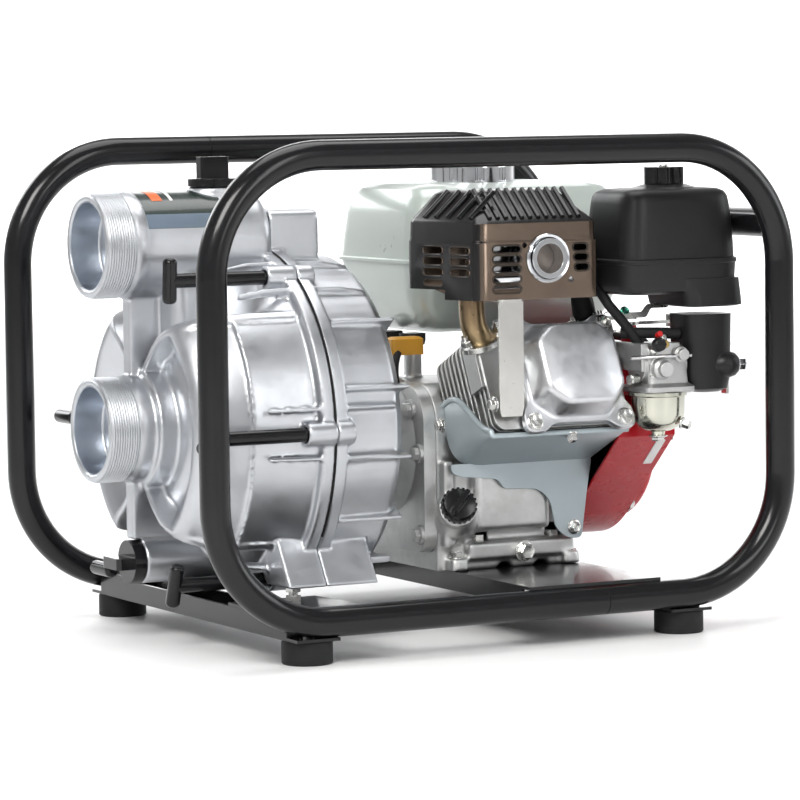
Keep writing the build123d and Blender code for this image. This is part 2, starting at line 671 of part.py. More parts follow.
def impeller():
    """Open trash impeller: back plate, hub and two swept vanes."""
    body = cyl_x(IMPELLER_R, IMPELLER_X1 - 6, IMPELLER_X1)
    body += cyl_x(18, IMPELLER_X0 + 4, IMPELLER_X1)
    for turn in (0, 180):
        inner = ThreePointArc((0, 10), (28, 30), (24, 58))
        outer = ThreePointArc((0, 17), (20, 34), (15, 61))
        outline = inner + outer + Line(inner @ 0, outer @ 0) + Line(inner @ 1, outer @ 1)
        face = Plane.YZ.offset(IMPELLER_X0) * make_face(outline)
        vane = extrude(face, IMPELLER_X1 - IMPELLER_X0, dir=(1, 0, 0))
        body += Pos(0, SHAFT_Y, SHAFT_Z) * Rot(turn, 0, 0) * vane
    return body - cyl_x(PTO_R, IMPELLER_X0 - 1, IMPELLER_X1 + 1)


def mechanical_seal():
    """Stationary shaft seal in the rear wall."""
    seal = cyl_x(PTO_R + 14, IMPELLER_X1 + 2, REAR_WALL_X)
    return seal - cyl_x(PTO_R + RUNNING, IMPELLER_X1 + 1, REAR_WALL_X + 1)


def engine_adapter():
    """Cast bracket that holds the pump's rear wall on the engine's drive face."""
    body = cyl_x(84, REAR_WALL_X, REAR_WALL_X + 10)
    body += turned_x([(REAR_WALL_X, 0), (REAR_WALL_X, 62), (PTO_FACE_X, 48), (PTO_FACE_X, 0)])
    body -= cyl_x(34, REAR_WALL_X + 8, PTO_FACE_X + 1)
    return body - cyl_x(PTO_R + 6, REAR_WALL_X - 1, PTO_FACE_X + 1)


def suction_check_valve():
    """Rubber flap with a weight plate, hung from the top of the suction seat."""
    flap = cyl_x(VALVE_R - 1, VALVE_X, VALVE_X + 5, z=PORT_Z)
    flap += cyl_x(28, VALVE_X + 5, VALVE_X + 9, z=PORT_Z)
    return flap


def fill_plug():
    """Priming plug: threaded stem, flange and a square grip."""
    plug = cyl_z(FILL_BORE_R - GAP, 378, 393, FILL_NECK_X, SHAFT_Y)
    plug += cyl_z(FILL_NECK_R + 2, 392 + GAP, 399, FILL_NECK_X, SHAFT_Y)
    grip = slab(FILL_NECK_X - 13.5, FILL_NECK_X + 13.5, SHAFT_Y - 7, SHAFT_Y + 7, 399, 418)
    return plug + fillet(grip.edges().filter_by(Axis.Z), 3)


def drain_plug():
    """Drain plug: threaded stem, round head and a wing grip."""
    plug = cyl_x(DRAIN_BORE_R - GAP, -244, -222, z=DRAIN_Z)
    plug += cyl_x(DRAIN_BOSS_R, -254, -243 - GAP, z=DRAIN_Z)
    wing = slab(-270, -254, SHAFT_Y - 17, SHAFT_Y + 17, DRAIN_Z - 5, DRAIN_Z + 5)
    return plug + fillet(wing.edges().filter_by(Axis.Z).group_by(Axis.X)[0], 4)


def clamp_rod(index, turn):
    """Clamp rod with a T handle at the front and a threaded end."""
    y, z = clamp_places()[index]
    thread_end = PARTING_X + BOSS_REAR_LENGTH - 4
    rod = cyl_x(CLAMP_ROD_R, CLAMP_HANDLE_X, PARTING_X - 1, 0, 0)
    rod += cyl_x(CLAMP_THREAD_R, PARTING_X - 1, thread_end, 0, 0)
    bar = cyl_z(CLAMP_ROD_R, -CLAMP_HANDLE_LENGTH / 2, CLAMP_HANDLE_LENGTH / 2, CLAMP_HANDLE_X, 0)
    rod += fillet(bar.edges().filter_by(GeomType.CIRCLE), 4)
    return Pos(0, y, z) * Rot(turn, 0, 0) * rod


# ================================================================ engine
def crankcase():
    """Aluminium crankcase with base, tank posts, filler neck and side panel."""
    body = slab(CASE_X0, CASE_X1, CASE_Y0, CASE_Y1, ENGINE_BASE_Z, CASE_TOP_Z)
    body = fillet(body.edges().filter_by(Axis.X).group_by(Axis.Z)[-1], 34)
    base_y0 = BASE_CENTRE_Y - BASE_PITCH_Y / 2 - 13
    base_y1 = BASE_CENTRE_Y + BASE_PITCH_Y / 2 + 13
    body += slab(BASE_X0, CASE_X1, base_y0, base_y1, ENGINE_BASE_Z, CASE_FLOOR_Z)
    for x in (BASE_X0 + 38, CASE_X1 - 32):
        body -= cyl_y(9, base_y0 - 1, base_y1 + 1, x, ENGINE_BASE_Z - 4)
    panel = slab(44, 112, CASE_Y0 - 5, CASE_Y0, CASE_FLOOR_Z + 12, CASE_FLOOR_Z + 62)
    body += fillet(panel.edges().filter_by(Axis.Y), 6)
    body += bore_cyl(BORE_R + 14, 40, 76)
    for x, y in ((40, 40), (40, 84), (126, 62)):
        body += cyl_z(8, CASE_TOP_Z - 30, TANK_BOTTOM_Z - GAP, x, y)
    wall_y0, wall_y1 = CASE_Y0 + CASE_WALL, CASE_Y1 - CASE_WALL
    cavity = slab(CASE_X0 - 1, CASE_X1 - CASE_WALL, wall_y0, wall_y1, 68, CASE_TOP_Z - 10)
    cavity = fillet(cavity.edges().filter_by(Axis.X).group_by(Axis.Z)[-1], 28)
    body += cyl_x(BEARING_R + 8, CASE_X1 - 24, CASE_X1)
    body -= cavity - cyl_x(BEARING_R + 8, CASE_X1 - 24, CASE_X1)
    body -= bore_cyl(BORE_R + 3, 20, 77)
    body -= cyl_x(BEARING_R, CASE_X1 - 24, CASE_X1 - 24 + BEARING_LENGTH)
    body -= cyl_x(JOURNAL_R + 2, CASE_X1 - 30, CASE_X1 + 1)
    body -= bore_slab(FIN_X0 - 2, FIN_X1 + 2, FIN_V0 - 2, FIN_V1 + 2, 76, 160)
    body += FILLER * (Pos(0, 0, -26) * Cylinder(12, 28))
    body -= FILLER * (Pos(0, 0, -25) * Cylinder(9, 90))
    for x, y in base_bolt_places():
        body -= cyl_z(BOLT_R + BOLT_CLEARANCE, ENGINE_BASE_Z - 1, CASE_FLOOR_Z + 1, x, y)
        body -= cyl_z(NUT_R + 2, CASE_FLOOR_Z, CASE_FLOOR_Z + 12, x, y)
    return body


# Oil filler: its own +Z points out of the neck.
def crankcase_cover():
    """Drive-side cover with the bearing hub and its bolts' bosses."""
    body = slab(CASE_X0 - COVER_THICK, CASE_X0, CASE_Y0, CASE_Y1, CASE_FLOOR_Z - 8, CASE_TOP_Z)
    body = fillet(body.edges().filter_by(Axis.X).group_by(Axis.Z)[-1], 34)
    body = fillet(body.edges().filter_by(Axis.X).group_by(Axis.Z)[0], 16)
    hub = [(PTO_FACE_X, 0), (PTO_FACE_X, 44), (CASE_X0 - COVER_THICK, 62), (CASE_X0, 62), (CASE_X0, 0)]
    body += turned_x(hub)
    for y, z in cover_bolt_places():
        body += cyl_x(8.5, CASE_X0 - COVER_THICK - 3, CASE_X0, y, z)
        bolt_x = CASE_X0 - COVER_THICK - 3
        hexagon = Plane.YZ.offset(bolt_x - 4) * (Pos(y, z) * RegularPolygon(6.2, 6))
        body += extrude(hexagon, 5)
    body -= cyl_x(BEARING_R, CASE_X0 - BEARING_LENGTH, CASE_X0 + 1)
    return body - cyl_x(PTO_R + 1.5, PTO_FACE_X - 1, CASE_X0 + 1)


def cover_bolt_places():
    """(y, z) of the bolts that hold the crankcase cover."""
    low_z = CASE_FLOOR_Z + 8
    high_z = CASE_TOP_Z - 22
    front, rear = CASE_Y0 + 9, CASE_Y1 - 9
    front_row = [(front, low_z), (front, SHAFT_Z - 2), (front + 14, high_z)]
    return front_row + [(rear, low_z), (rear, SHAFT_Z), (rear - 14, high_z)]


def main_bearings():
    """Ball bearings of the crankshaft, as plain rings."""
    rings = []
    for x0 in (CASE_X0 - BEARING_LENGTH, CASE_X1 - 24):
        ring = cyl_x(BEARING_R, x0, x0 + BEARING_LENGTH)
        ring -= cyl_x(JOURNAL_R + RUNNING, x0 - 1, x0 + BEARING_LENGTH + 1)
        rings.append(ring)
    return together(rings)


def crank_web(x0, x1):
    """One crank web with its counterweight opposite the pin."""
    cheek = BORE * (Pos(0, 0, CRANK_THROW / 2) * Box(x1 - x0, 26, CRANK_THROW))
    cheek = Pos((x0 + x1) / 2 - CYLINDER_X, 0, 0) * cheek
    pin_y, pin_z = bore_point(0, 0, CRANK_THROW).Y, bore_point(0, 0, CRANK_THROW).Z
    web = cheek + cyl_x(13, x0, x1, pin_y, pin_z)
    weight = cyl_x(34, x0, x1)
    weight -= bore_slab(-60, 60, -60, 60, 6, 80)
    return web + weight


def crankshaft():
    """Crankshaft halves either side of the connecting rod, with the pump end and the flywheel end."""
    web_in = ROD_WIDTH / 2 + GAP
    bearing_end = CASE_X1 - 24 + BEARING_LENGTH
    drive = cyl_x(PTO_R, IMPELLER_X0, CASE_X0 - BEARING_LENGTH)
    drive += cyl_x(JOURNAL_R, CASE_X0 - BEARING_LENGTH, CASE_X0 + 1)
    drive += cyl_x(JOURNAL_R + 1.5, CASE_X0 + 1, CYLINDER_X - web_in)
    drive += crank_web(CYLINDER_X - web_in - 10, CYLINDER_X - web_in)
    tail = crank_web(CYLINDER_X + web_in, CYLINDER_X + web_in + 10)
    tail += cyl_x(JOURNAL_R + 1.5, CYLINDER_X + web_in, CASE_X1 - 24 - GAP)
    tail += cyl_x(JOURNAL_R, CASE_X1 - 24 - GAP, bearing_end)
    tail += cyl_x(PTO_R + 1, bearing_end, 184)
    tail += cyl_x(PTO_R - 2, 184, 196)
    return together([drive, tail])


def connecting_rod():
    """Connecting rod with the crankpin in its big end and the piston pin in its small end."""
    width = ROD_WIDTH / 2
    big = BORE * (Pos(0, 0, CRANK_THROW) * Rot(0, 90, 0) * Cylinder(CRANKPIN_R + 5, 2 * width))
    small = BORE * (Pos(0, 0, PIN_T) * Rot(0, 90, 0) * Cylinder(12, 2 * width))
    pin = BORE * (Pos(0, 0, PIN_T) * Rot(0, 90, 0) * Cylinder(9, 52))
    shank = bore_slab(-6, 6, -8, 8, CRANK_THROW, PIN_T)
    return big + small + shank + pin


def piston():
    """Piston with crown, skirt, ring grooves and pin bores."""
    top = PIN_T + PISTON_CROWN
    body = bore_cyl(BORE_R - RUNNING, PIN_T - PISTON_SKIRT, top)
    body -= bore_cyl(BORE_R - 5, PIN_T - PISTON_SKIRT - 1, top - 8)
    for t in (top - 4, top - 8, top - 12):
        groove = bore_cyl(BORE_R, t - 1.5, t) - bore_cyl(BORE_R - 2, t - 1.5, t)
        body -= groove
    ears = bore_slab(-26, -13, -12, 12, PIN_T - 12, top - 6)
    ears += bore_slab(13, 26, -12, 12, PIN_T - 12, top - 6)
    body += ears & bore_cyl(BORE_R - 2, PIN_T - PISTON_SKIRT, top)
    return body - BORE * (Pos(0, 0, PIN_T) * Rot(0, 90, 0) * Cylinder(9, 80))


def cylinder_block():
    """Finned cylinder barrel."""
    body = bore_cyl(BORE_R + 9, 76, DECK)
    for i in range(8):
        t = 77 + i * FIN_PITCH
        fin = bore_slab(FIN_X0, FIN_X1, FIN_V0, FIN_V1, t, t + FIN_THICK)
        body += fillet(fin.edges().filter_by(lambda e: abs((e % 0.5).dot(BORE.z_dir)) > 0.9), 12)
    body += bore_slab(FIN_X0 + 8, FIN_X1 - 4, FIN_V0 + 6, FIN_V1 - 6, DECK - 6, DECK)
    return body - bore_cyl(BORE_R, 70, DECK + 1)


def cylinder_head():
    """Finned cylinder head with its rocker deck and exhaust and intake bosses."""
    body = bore_slab(FIN_X0 + 10, HEAD_X1 - 4, FIN_V0 + 4, FIN_V1 - 4, DECK, DECK + 6)
    body += bore_slab(-20, HEAD_X1, -40, 42, DECK, HEAD_TOP)
    for i in range(3):
        t = DECK + 6 + i * 7.0
        fin = bore_slab(FIN_X0, 70, FIN_V0, FIN_V1, t, t + FIN_THICK)
        body += fillet(fin.edges().filter_by(lambda e: abs((e % 0.5).dot(BORE.z_dir)) > 0.9), 10)
    body += bore_slab(EXHAUST_BOSS_X0, -18, -6, 36, DECK, HEAD_TOP - 4)
    body -= bore_cyl(BORE_R - 4, DECK - 1, DECK + 4)
    body -= spark_plug_place() * (Pos(0, 0, 20) * Cylinder(11, 40))
    return body - cyl_z(17, EXHAUST_SEAT_Z, 330, EXHAUST_X, EXHAUST_Y)


def valve_cover():
    """Pressed-look cast rocker cover with a crowned body on a bolted flange."""
    mid_x, mid_v = (COVER_X0 + COVER_X1) / 2, (COVER_V0 + COVER_V1) / 2
    width, height = COVER_X1 - COVER_X0, COVER_V1 - COVER_V0
    at_flange = BORE * Pos(mid_x, mid_v, HEAD_TOP)
    flange = extrude(at_flange * RectangleRounded(width, height, 13), 5)
    outline = [(-38, -22), (-22, -36), (24, -36), (39, -22), (39, 24), (26, 37), (-24, 37), (-38, 24)]
    lower = BORE * (Pos(mid_x, mid_v, HEAD_TOP + 3) * Polygon(*outline, align=None))
    upper_points = [(x * 0.76, v * 0.76) for x, v in outline]
    upper = BORE * (Pos(mid_x, mid_v, HEAD_TOP + 24) * Polygon(*upper_points, align=None))
    crown = loft([lower, upper], ruled=True)
    body = flange + crown
    return body - bore_slab(mid_x - 30, mid_x + 30, mid_v - 29, mid_v + 29, HEAD_TOP - 1, HEAD_TOP + 17)


def lower_shroud():
    """Pressed air deflector under the cylinder, with a side wall and a leg down the crankcase."""
    low_v = FIN_V0 - 3
    body = bore_slab(-72, HEAD_X1, low_v - SHEET, low_v, 74, 152)
    body += bore_slab(-74, -72, low_v - SHEET, low_v + 44, 88, 122)
    body += bore_slab(-40, HEAD_X1, low_v - SHEET, low_v + 2, 150, 152)
    points = [(62, 144), (156, 144), (152, 118), (146, 74), (132, 74), (126, 100), (112, 120), (80, 130)]
    leg_y = CASE_Y0 - 14
    body += prism_y(points, leg_y - SHEET, leg_y)
    return body


def flywheel_fan():
    """Flywheel with cooling vanes on its outer face."""
    body = cyl_x(FLYWHEEL_R, 152, 166)
    body += cyl_x(24, 148, 184)
    for i in range(12):
        vane = slab(166, 184, -2, 2, 34, FLYWHEEL_R - 3)
        body += Pos(0, SHAFT_Y, SHAFT_Z) * Rot(30 * i, 0, 0) * vane
    return body - cyl_x(PTO_R + 1, 140, 185)


def fan_outline(inset):
    """Fan cover's outline in (y, z): a round scroll that opens towards the cylinder."""
    round_part = Pos(SHAFT_Y, SHAFT_Z) * Circle(FAN_COVER_R - inset)
    r = FAN_COVER_R - inset
    diagonal = r * math.sqrt(0.5)
    points = [
        (SHAFT_Y - diagonal, SHAFT_Z - diagonal),
        (-124 + inset, 166 + inset * 0.4),
        (-124 + inset, 203 - inset * 0.4),
        (-70, 220 - inset),
        (SHAFT_Y, SHAFT_Z + r),
        (SHAFT_Y, SHAFT_Z),
    ]
    return round_part + Polygon(*points, align=None)


def fan_cover():
    """Pressed-steel fan cover, open towards the engine, with the control lever's post."""
    along = (1, 0, 0)
    shell = extrude(Plane.YZ.offset(CASE_X1) * fan_outline(0), FAN_COVER_X - CASE_X1, dir=along)
    inner = Plane.YZ.offset(CASE_X1 - 1) * fan_outline(SHEET)
    shell -= extrude(inner, FAN_COVER_X - SHEET - CASE_X1 + 1, dir=along)
    shell -= slab(CASE_X1 - 1, CYLINDER_X + HEAD_X1 + 1, -130, CASE_Y0, 100, 260)
    shell -= cyl_x(RECOIL_R - 8, FAN_COVER_X - SHEET - 1, FAN_COVER_X + 1)
    shell += cyl_z(7, 210, THROTTLE_Z - GAP, THROTTLE_X, THROTTLE_Y)
    shell += cyl_x(14, FAN_COVER_X, FAN_COVER_X + 6, SWITCH_Y, SWITCH_Z)
    return shell


def recoil_starter_housing():
    """Recoil starter's dished housing with vent slots and the rope's outlet."""
    body = cyl_x(RECOIL_R, FAN_COVER_X, RECOIL_X)
    body = fillet(body.edges().filter_by(GeomType.CIRCLE).sort_by(Axis.X)[-1], 7)
    body -= cyl_x(RECOIL_R - SHEET, FAN_COVER_X - 1, RECOIL_X - SHEET - 6)
    body -= cyl_x(RECOIL_R - SHEET - 7, FAN_COVER_X - 1, RECOIL_X - SHEET)
    for i in range(12):
        if i % 3:
            slot = slab(RECOIL_X - 6, RECOIL_X + 1, -3, 3, 36, 62)
            body -= Pos(0, SHAFT_Y, SHAFT_Z) * Rot(30 * i, 0, 0) * slot
    body += cyl_x(8 - RUNNING, FAN_COVER_X + 4, RECOIL_X)
    rope_z = SHAFT_Z + PULLEY_R
    body -= slab(222, 230, SHAFT_Y + 40, SHAFT_Y + RECOIL_R + 1, rope_z - 4, rope_z + 4)
    return body


def starter_pulley():
    """Rope pulley on the recoil housing's post."""
    body = cyl_x(PULLEY_R, FAN_COVER_X + 5, RECOIL_X - 9)
    groove = cyl_x(PULLEY_R + 1, FAN_COVER_X + 7, RECOIL_X - 11)
    groove -= cyl_x(PULLEY_R - 7, FAN_COVER_X + 6, RECOIL_X - 10)
    body -= groove
    return body - cyl_x(8, FAN_COVER_X + 4, RECOIL_X - 8)


def starter_grip():
    """Recoil starter's handle, parked against the rope outlet."""
    y0 = SHAFT_Y + RECOIL_R - 20
    z = SHAFT_Z + PULLEY_R
    grip = slab(217, 235, y0 + 16, y0 + 36, z - 30, z + 30)
    grip = fillet(grip.edges(), 7)
    return grip + cyl_y(4, y0 + 6, y0 + 18, 226, z)


# ---------------------------------------------------------------- exhaust
def guard_solid(inset):
    """Muffler guard's outer body, or its hollow when inset."""
    y0, y1 = GUARD_Y0 + inset, GUARD_Y1 - inset
    side = [
        (y0, GUARD_Z0 - inset * 2),
        (y0, GUARD_BEND_Z),
        (y0 + 5, GUARD_BEND_Z + 10 - inset * 0.5),
        (y0 + 46, GUARD_TOP_Z - inset),
        (y1 - 6, GUARD_TOP_Z - inset),
        (y1, GUARD_BEND_Z + 20),
        (y1, GUARD_Z0 - inset * 2),
    ]
    body = prism_x(side, -40, 170)
    plan = [
        (GUARD_X0 + inset, GUARD_Y0 - 5),
        (GUARD_X1 - inset, GUARD_Y0 - 5),
        (GUARD_X1 + 5 - inset, GUARD_Y1 + 5),
        (GUARD_X0 - GUARD_SKEW + inset, GUARD_Y1 + 5),
    ]
    body = body & prism_z(plan, GUARD_Z0 - 20, GUARD_TOP_Z + 20)
    return body


def muffler_guard():
    """Sheet-metal muffler guard with louvred walls and top."""
    outer = guard_solid(0)
    upright = outer.edges().filter_by(lambda e: abs((e % 0.5).Z) > 0.8 and e.length > 30)
    outer = fillet(upright, 5)
    body = outer - guard_solid(1.5)
    for i in range(5):
        z = 302 + i * 8.8
        body -= slab(23, 49, GUARD_Y0 - 2, GUARD_Y0 + 6, z - 2.6, z + 2.6)
        if i > 1:
            body -= slab(104, 118, GUARD_Y0 - 2, GUARD_Y0 + 6, z - 2.6, z + 2.6)
    body -= cyl_y(19, GUARD_Y0 - 2, GUARD_Y0 + 8, OUTLET_X, OUTLET_Z)
    for x, z in ((55, 336), (99, 306)):
        body -= cyl_y(2, GUARD_Y0 - 2, GUARD_Y0 + 8, x, z)
    for row in range(3):
        for y in (-126, -88):
            body -= slab(-30, GUARD_X0 + 2, y, y + 30, 313 + row * 9, 318.5 + row * 9)
    body -= slab(-30, GUARD_X0 + 2, -88, -58, 302, 307.5)
    for i in range(10):
        x = 14 + i * 11.5
        body -= slab(x, x + 4, GUARD_Y0 + 12, GUARD_Y0 + 44, GUARD_BEND_Z, GUARD_TOP_Z + 4)
    return body


def muffler():
    """Muffler can with its outlet ring."""
    can = slab(22, 120, -124, -62, 300, 360)
    can = fillet(can.edges().filter_by(Axis.X), 16)
    can -= slab(24, 118, -110, -76, 304, 356)
    can += cyl_y(15, GUARD_Y0 - 2, -122, OUTLET_X, OUTLET_Z)
    can += cyl_y(17.5, GUARD_Y0 - 4, GUARD_Y0 - 1, OUTLET_X, OUTLET_Z)
    return can - cyl_y(13, GUARD_Y0 - 5, -100, OUTLET_X, OUTLET_Z)


def exhaust_pipe():
    """Short pipe from the cylinder head's port up into the muffler."""
    tube = cyl_z(12, EXHAUST_SEAT_Z, 300, EXHAUST_X, EXHAUST_Y)
    flange = cyl_z(16, EXHAUST_SEAT_Z, EXHAUST_SEAT_Z + 4, EXHAUST_X, EXHAUST_Y)
    return tube + flange - cyl_z(10.5, EXHAUST_SEAT_Z - 1, 301, EXHAUST_X, EXHAUST_Y)


def muffler_stay():
    """Flat stay between the cylinder head and the muffler."""
    stay = slab(36, 52, -146, -144, 190, 288)
    stay += slab(36, 52, -146, -120, 288, 291)
    return stay - cyl_y(3, -150, -140, 44, 200)


# ---------------------------------------------------------------- fuel
def tank_section(z, inset):
    """Rounded rectangle of the tank at one height."""
    mid_x, mid_y = (TANK_X0 + TANK_X1) / 2, (TANK_Y0 + TANK_Y1) / 2
    width = TANK_X1 - TANK_X0 - 2 * inset
    depth = TANK_Y1 - TANK_Y0 - 2 * inset
    return Pos(mid_x, mid_y, z) * RectangleRounded(width, depth, 26)


def tank_body(wall):
    """Tank solid; wall shrinks it to its hollow."""
    lower = loft([tank_section(TANK_BOTTOM_Z + wall, 22 + wall), tank_section(TANK_SEAM_Z, wall)])
    upper = loft([tank_section(TANK_SEAM_Z, wall), tank_section(TANK_TOP_Z - wall, 7 + wall)])
    return lower, upper


def fuel_tank():
    """Pressed-steel fuel tank with its seam flange and filler neck."""
    lower, upper = tank_body(0)
    upper = fillet(upper.faces().sort_by(Axis.Z)[-1].edges(), 10)
    body = lower + upper
    body += extrude(tank_section(TANK_SEAM_Z - 1.5, -3), 3)
    body += cyl_z(FUEL_NECK_R, TANK_TOP_Z - 2, TANK_TOP_Z + 4, FUEL_CAP_X, FUEL_CAP_Y)
    hollow_low, hollow_high = tank_body(SHEET)
    body -= hollow_low
    body -= hollow_high
    return body - cyl_z(FUEL_NECK_R - SHEET, TANK_TOP_Z - 12, TANK_TOP_Z + 5, FUEL_CAP_X, FUEL_CAP_Y)


def fuel_cap():
    """Round fuel cap with gripping notches."""
    z0 = TANK_TOP_Z + GAP
    skirt = cyl_z(FUEL_CAP_R, z0, z0 + 17, FUEL_CAP_X, FUEL_CAP_Y)
    skirt = fillet(skirt.edges().filter_by(GeomType.CIRCLE).sort_by(Axis.Z)[-1], 3)
    skirt -= cyl_z(FUEL_NECK_R + GAP + 1, z0 - 1, z0 + 8, FUEL_CAP_X, FUEL_CAP_Y)
    for i in range(10):
        angle = math.radians(36 * i)
        x = FUEL_CAP_X + (FUEL_CAP_R + 2) * math.cos(angle)
        y = FUEL_CAP_Y + (FUEL_CAP_R + 2) * math.sin(angle)
        skirt -= cyl_z(5, z0 + 2, z0 + 14, x, y)
    return skirt


# ---------------------------------------------------------------- air and fuel feed
def air_cleaner_cover():
    """Upper cover of the air cleaner."""
    body = slab(AIR_X0, AIR_X1, AIR_Y0, AIR_Y1, AIR_SEAM_Z, AIR_TOP_Z)
    body = fillet(body.edges().filter_by(Axis.Z), 14)
    body = fillet(body.faces().sort_by(Axis.Z)[-1].edges(), 8)
    inner = slab(AIR_X0 + 3, AIR_X1 - 3, AIR_Y0 + 3, AIR_Y1 - 3, AIR_SEAM_Z - 1, AIR_TOP_Z - 3)
    body -= fillet(inner.edges().filter_by(Axis.Z), 11)
    floor_z, crest_z = AIR_TOP_Z - 3, AIR_TOP_Z + 8
    mound = [(0, floor_z), (27, floor_z), (27, AIR_TOP_Z), (20, crest_z), (0, crest_z)]
    body += turned_z(mound, KNOB_X, KNOB_Y)
    return body - cyl_z(5, AIR_TOP_Z - 4, AIR_TOP_Z + 9, KNOB_X, KNOB_Y)


def air_cleaner_elbow():
    """Lower tray of the air cleaner and the elbow down to the carburettor."""
    tray = slab(AIR_X0 - 2, AIR_X1 + 1, AIR_Y0 - 2, AIR_Y1 + 2, 290, AIR_SEAM_Z)
    tray = fillet(tray.edges().filter_by(Axis.Z), 15)
    tray += slab(196, AIR_X1 + 1, AIR_Y0 - 2, -130, 274, 291)
    tray -= slab(AIR_X0 + 4, AIR_X1 - 4, AIR_Y0 + 4, AIR_Y1 - 4, 294, AIR_SEAM_Z + 1)
    duct = slab(CARB_X1, 252, CARB_Y - 20, CARB_Y + 25, 206, 276)
    duct = fillet(duct.edges().filter_by(Axis.Y).group_by(Axis.Z)[0], 14)
    body = tray + duct
    body += cyl_z(4.5, 290, AIR_TOP_Z + 14, KNOB_X, KNOB_Y)
    body -= slab(CARB_X1 + 12, 240, CARB_Y - 12, CARB_Y + 16, 218, 295)
    body -= cyl_x(15, CARB_X1 - 1, CARB_X1 + 14, CARB_Y, CARB_Z)
    for z in (LEVER_Z_CHOKE, LEVER_Z_FUEL):
        body += cyl_x(6, 252, 253, CARB_Y, z)
    return body


def air_cleaner_knob():
    """Lobed knob that holds the cover down."""
    z0 = AIR_TOP_Z + 8 + GAP
    knob = cyl_z(15, z0, z0 + 15, KNOB_X, KNOB_Y)
    for i in range(6):
        angle = math.radians(60 * i)
        knob += cyl_z(6, z0, z0 + 15, KNOB_X + 13 * math.cos(angle), KNOB_Y + 13 * math.sin(angle))
    return knob - cyl_z(4.5 + GAP, z0 - 1, z0 + 8, KNOB_X, KNOB_Y)


def air_filter_element():
    """Round paper element inside the air cleaner."""
    element = cyl_z(FILTER_R, AIR_SEAM_Z - 22, AIR_TOP_Z - 4, KNOB_X, KNOB_Y)
    return element - cyl_z(FILTER_BORE_R, 290, AIR_TOP_Z, KNOB_X, KNOB_Y)


def carburetor_body():
    """Carburettor body with its throat, flange and linkage posts."""
    body = slab(CARB_X0 + 6, CARB_X1 - 4, CARB_Y - 16, CARB_Y + 16, 213, 248)
    body = fillet(body.edges().filter_by(Axis.X), 5)
    body += cyl_x(15.5, CARB_X0 + 3, CARB_X1, CARB_Y, CARB_Z)
    body += cyl_z(BOWL_R - 1, 205, 214, BOWL_X, CARB_Y)
    port_y = CARB_Y + 38
    body += slab(CARB_X0, CARB_X0 + 7, CARB_Y - 14, port_y + 14, 226, 250)
    body += cyl_x(8, CYLINDER_X + HEAD_X1, CARB_X0 + 7, port_y, 238)
    return body - cyl_x(10, CARB_X0 + 8, CARB_X1 + 1, CARB_Y, CARB_Z)


def carburetor_bowl():
    """Float bowl with its bottom bolt."""
    profile = [(0, 176), (6, 176), (6, 180), (14, 182)]
    profile += [(BOWL_R - 3, 190), (BOWL_R, 193), (BOWL_R, 205), (0, 205)]
    bowl = turned_z(profile, BOWL_X, CARB_Y)
    return bowl - cyl_z(BOWL_R - 3, 193, 206, BOWL_X, CARB_Y)


def side_lever(z, rise):
    """Small finger lever on the right of the air duct."""
    lever = cyl_x(6, 253 + GAP, 257, CARB_Y, z)
    lever += slab(253 + GAP, 256, CARB_Y - 4, CARB_Y + 4, z, z + rise)
    return lever


def throttle_lever():
    """Throttle control lever on its post above the fan cover."""
    lever = cyl_z(9, THROTTLE_Z, THROTTLE_Z + 3, THROTTLE_X, THROTTLE_Y)
    lever += slab(THROTTLE_X, THROTTLE_X + 44, THROTTLE_Y - 5, THROTTLE_Y + 5, THROTTLE_Z, THROTTLE_Z + 3)
    return lever + cyl_z(8, THROTTLE_Z - 3, THROTTLE_Z + 8, THROTTLE_X + 48, THROTTLE_Y)


def engine_switch():
    """Rotary stop switch knob on the fan cover."""
    x0 = FAN_COVER_X + 6 + GAP
    knob = cyl_x(11, x0, x0 + 4, SWITCH_Y, SWITCH_Z)
    return knob + slab(x0 + 4, x0 + 12, SWITCH_Y - 3, SWITCH_Y + 3, SWITCH_Z - 10, SWITCH_Z + 10)


def oil_dipstick():
    """Filler cap with a T grip and the dipstick below it."""
    cap = FILLER * (Pos(0, 0, -6) * Cylinder(13.5, 11.4))
    grip = FILLER * (Pos(0, 0, 4.7) * Box(30, 7, 10))
    stick = FILLER * (Pos(0, 0, -38) * Cylinder(2.2, 56))
    stem = FILLER * (Pos(0, 0, -20) * Cylinder(9 - GAP, 18))
    return cap + grip + stick + stem


def spark_plug_place():
    """Location of the spark plug's seat, its own +Z up the head's slope."""
    return BORE * Pos(PLUG_X, FIN_V1 - 6, PLUG_T) * Rot(-90, 0, 0)


def spark_plug():
    """Spark plug with its rubber boot, along the head's upward slope."""
    place = spark_plug_place()
    plug = place * (Pos(0, 0, 5) * Cylinder(9, 10))
    plug += place * (Pos(0, 0, 22) * Cylinder(8, 26))
    return plug


def hose(points, radius, bend):
    """Round hose along straight runs joined by arcs."""
    path = FilletPolyline(*points, radius=bend)
    return sweep(Plane(origin=path @ 0, z_dir=path % 0) * Circle(radius), path=path)


def rubber_hoses():
    """Spark lead, crankcase breather hose and fuel hose."""
    boot = bore_point(PLUG_X, FIN_V1 - 6 + 34.5, PLUG_T)
    above = bore_point(PLUG_X + 6, FIN_V1 + 42, PLUG_T)
    lead = hose([tuple(boot), tuple(above), (164, -64, 284), (176, -52, 262), (178, -48, 241)], 3.5, 7)
    breather_path = [(148, -112, 303), (141, -115, 300), (146, -127, 284)]
    breather_path += [(160, -135, 264), (172, -137, 248)]
    breather = hose(breather_path, 4.5, 5)
    fuel_path = [(214, 44, 256), (214, 36, 250), (212, -20, 249)]
    fuel_path += [(204, -80, 249), (192, -112, 248), (188, -130, 240)]
    fuel = hose(fuel_path, 3.5, 6)
    return together([lead, breather, fuel])


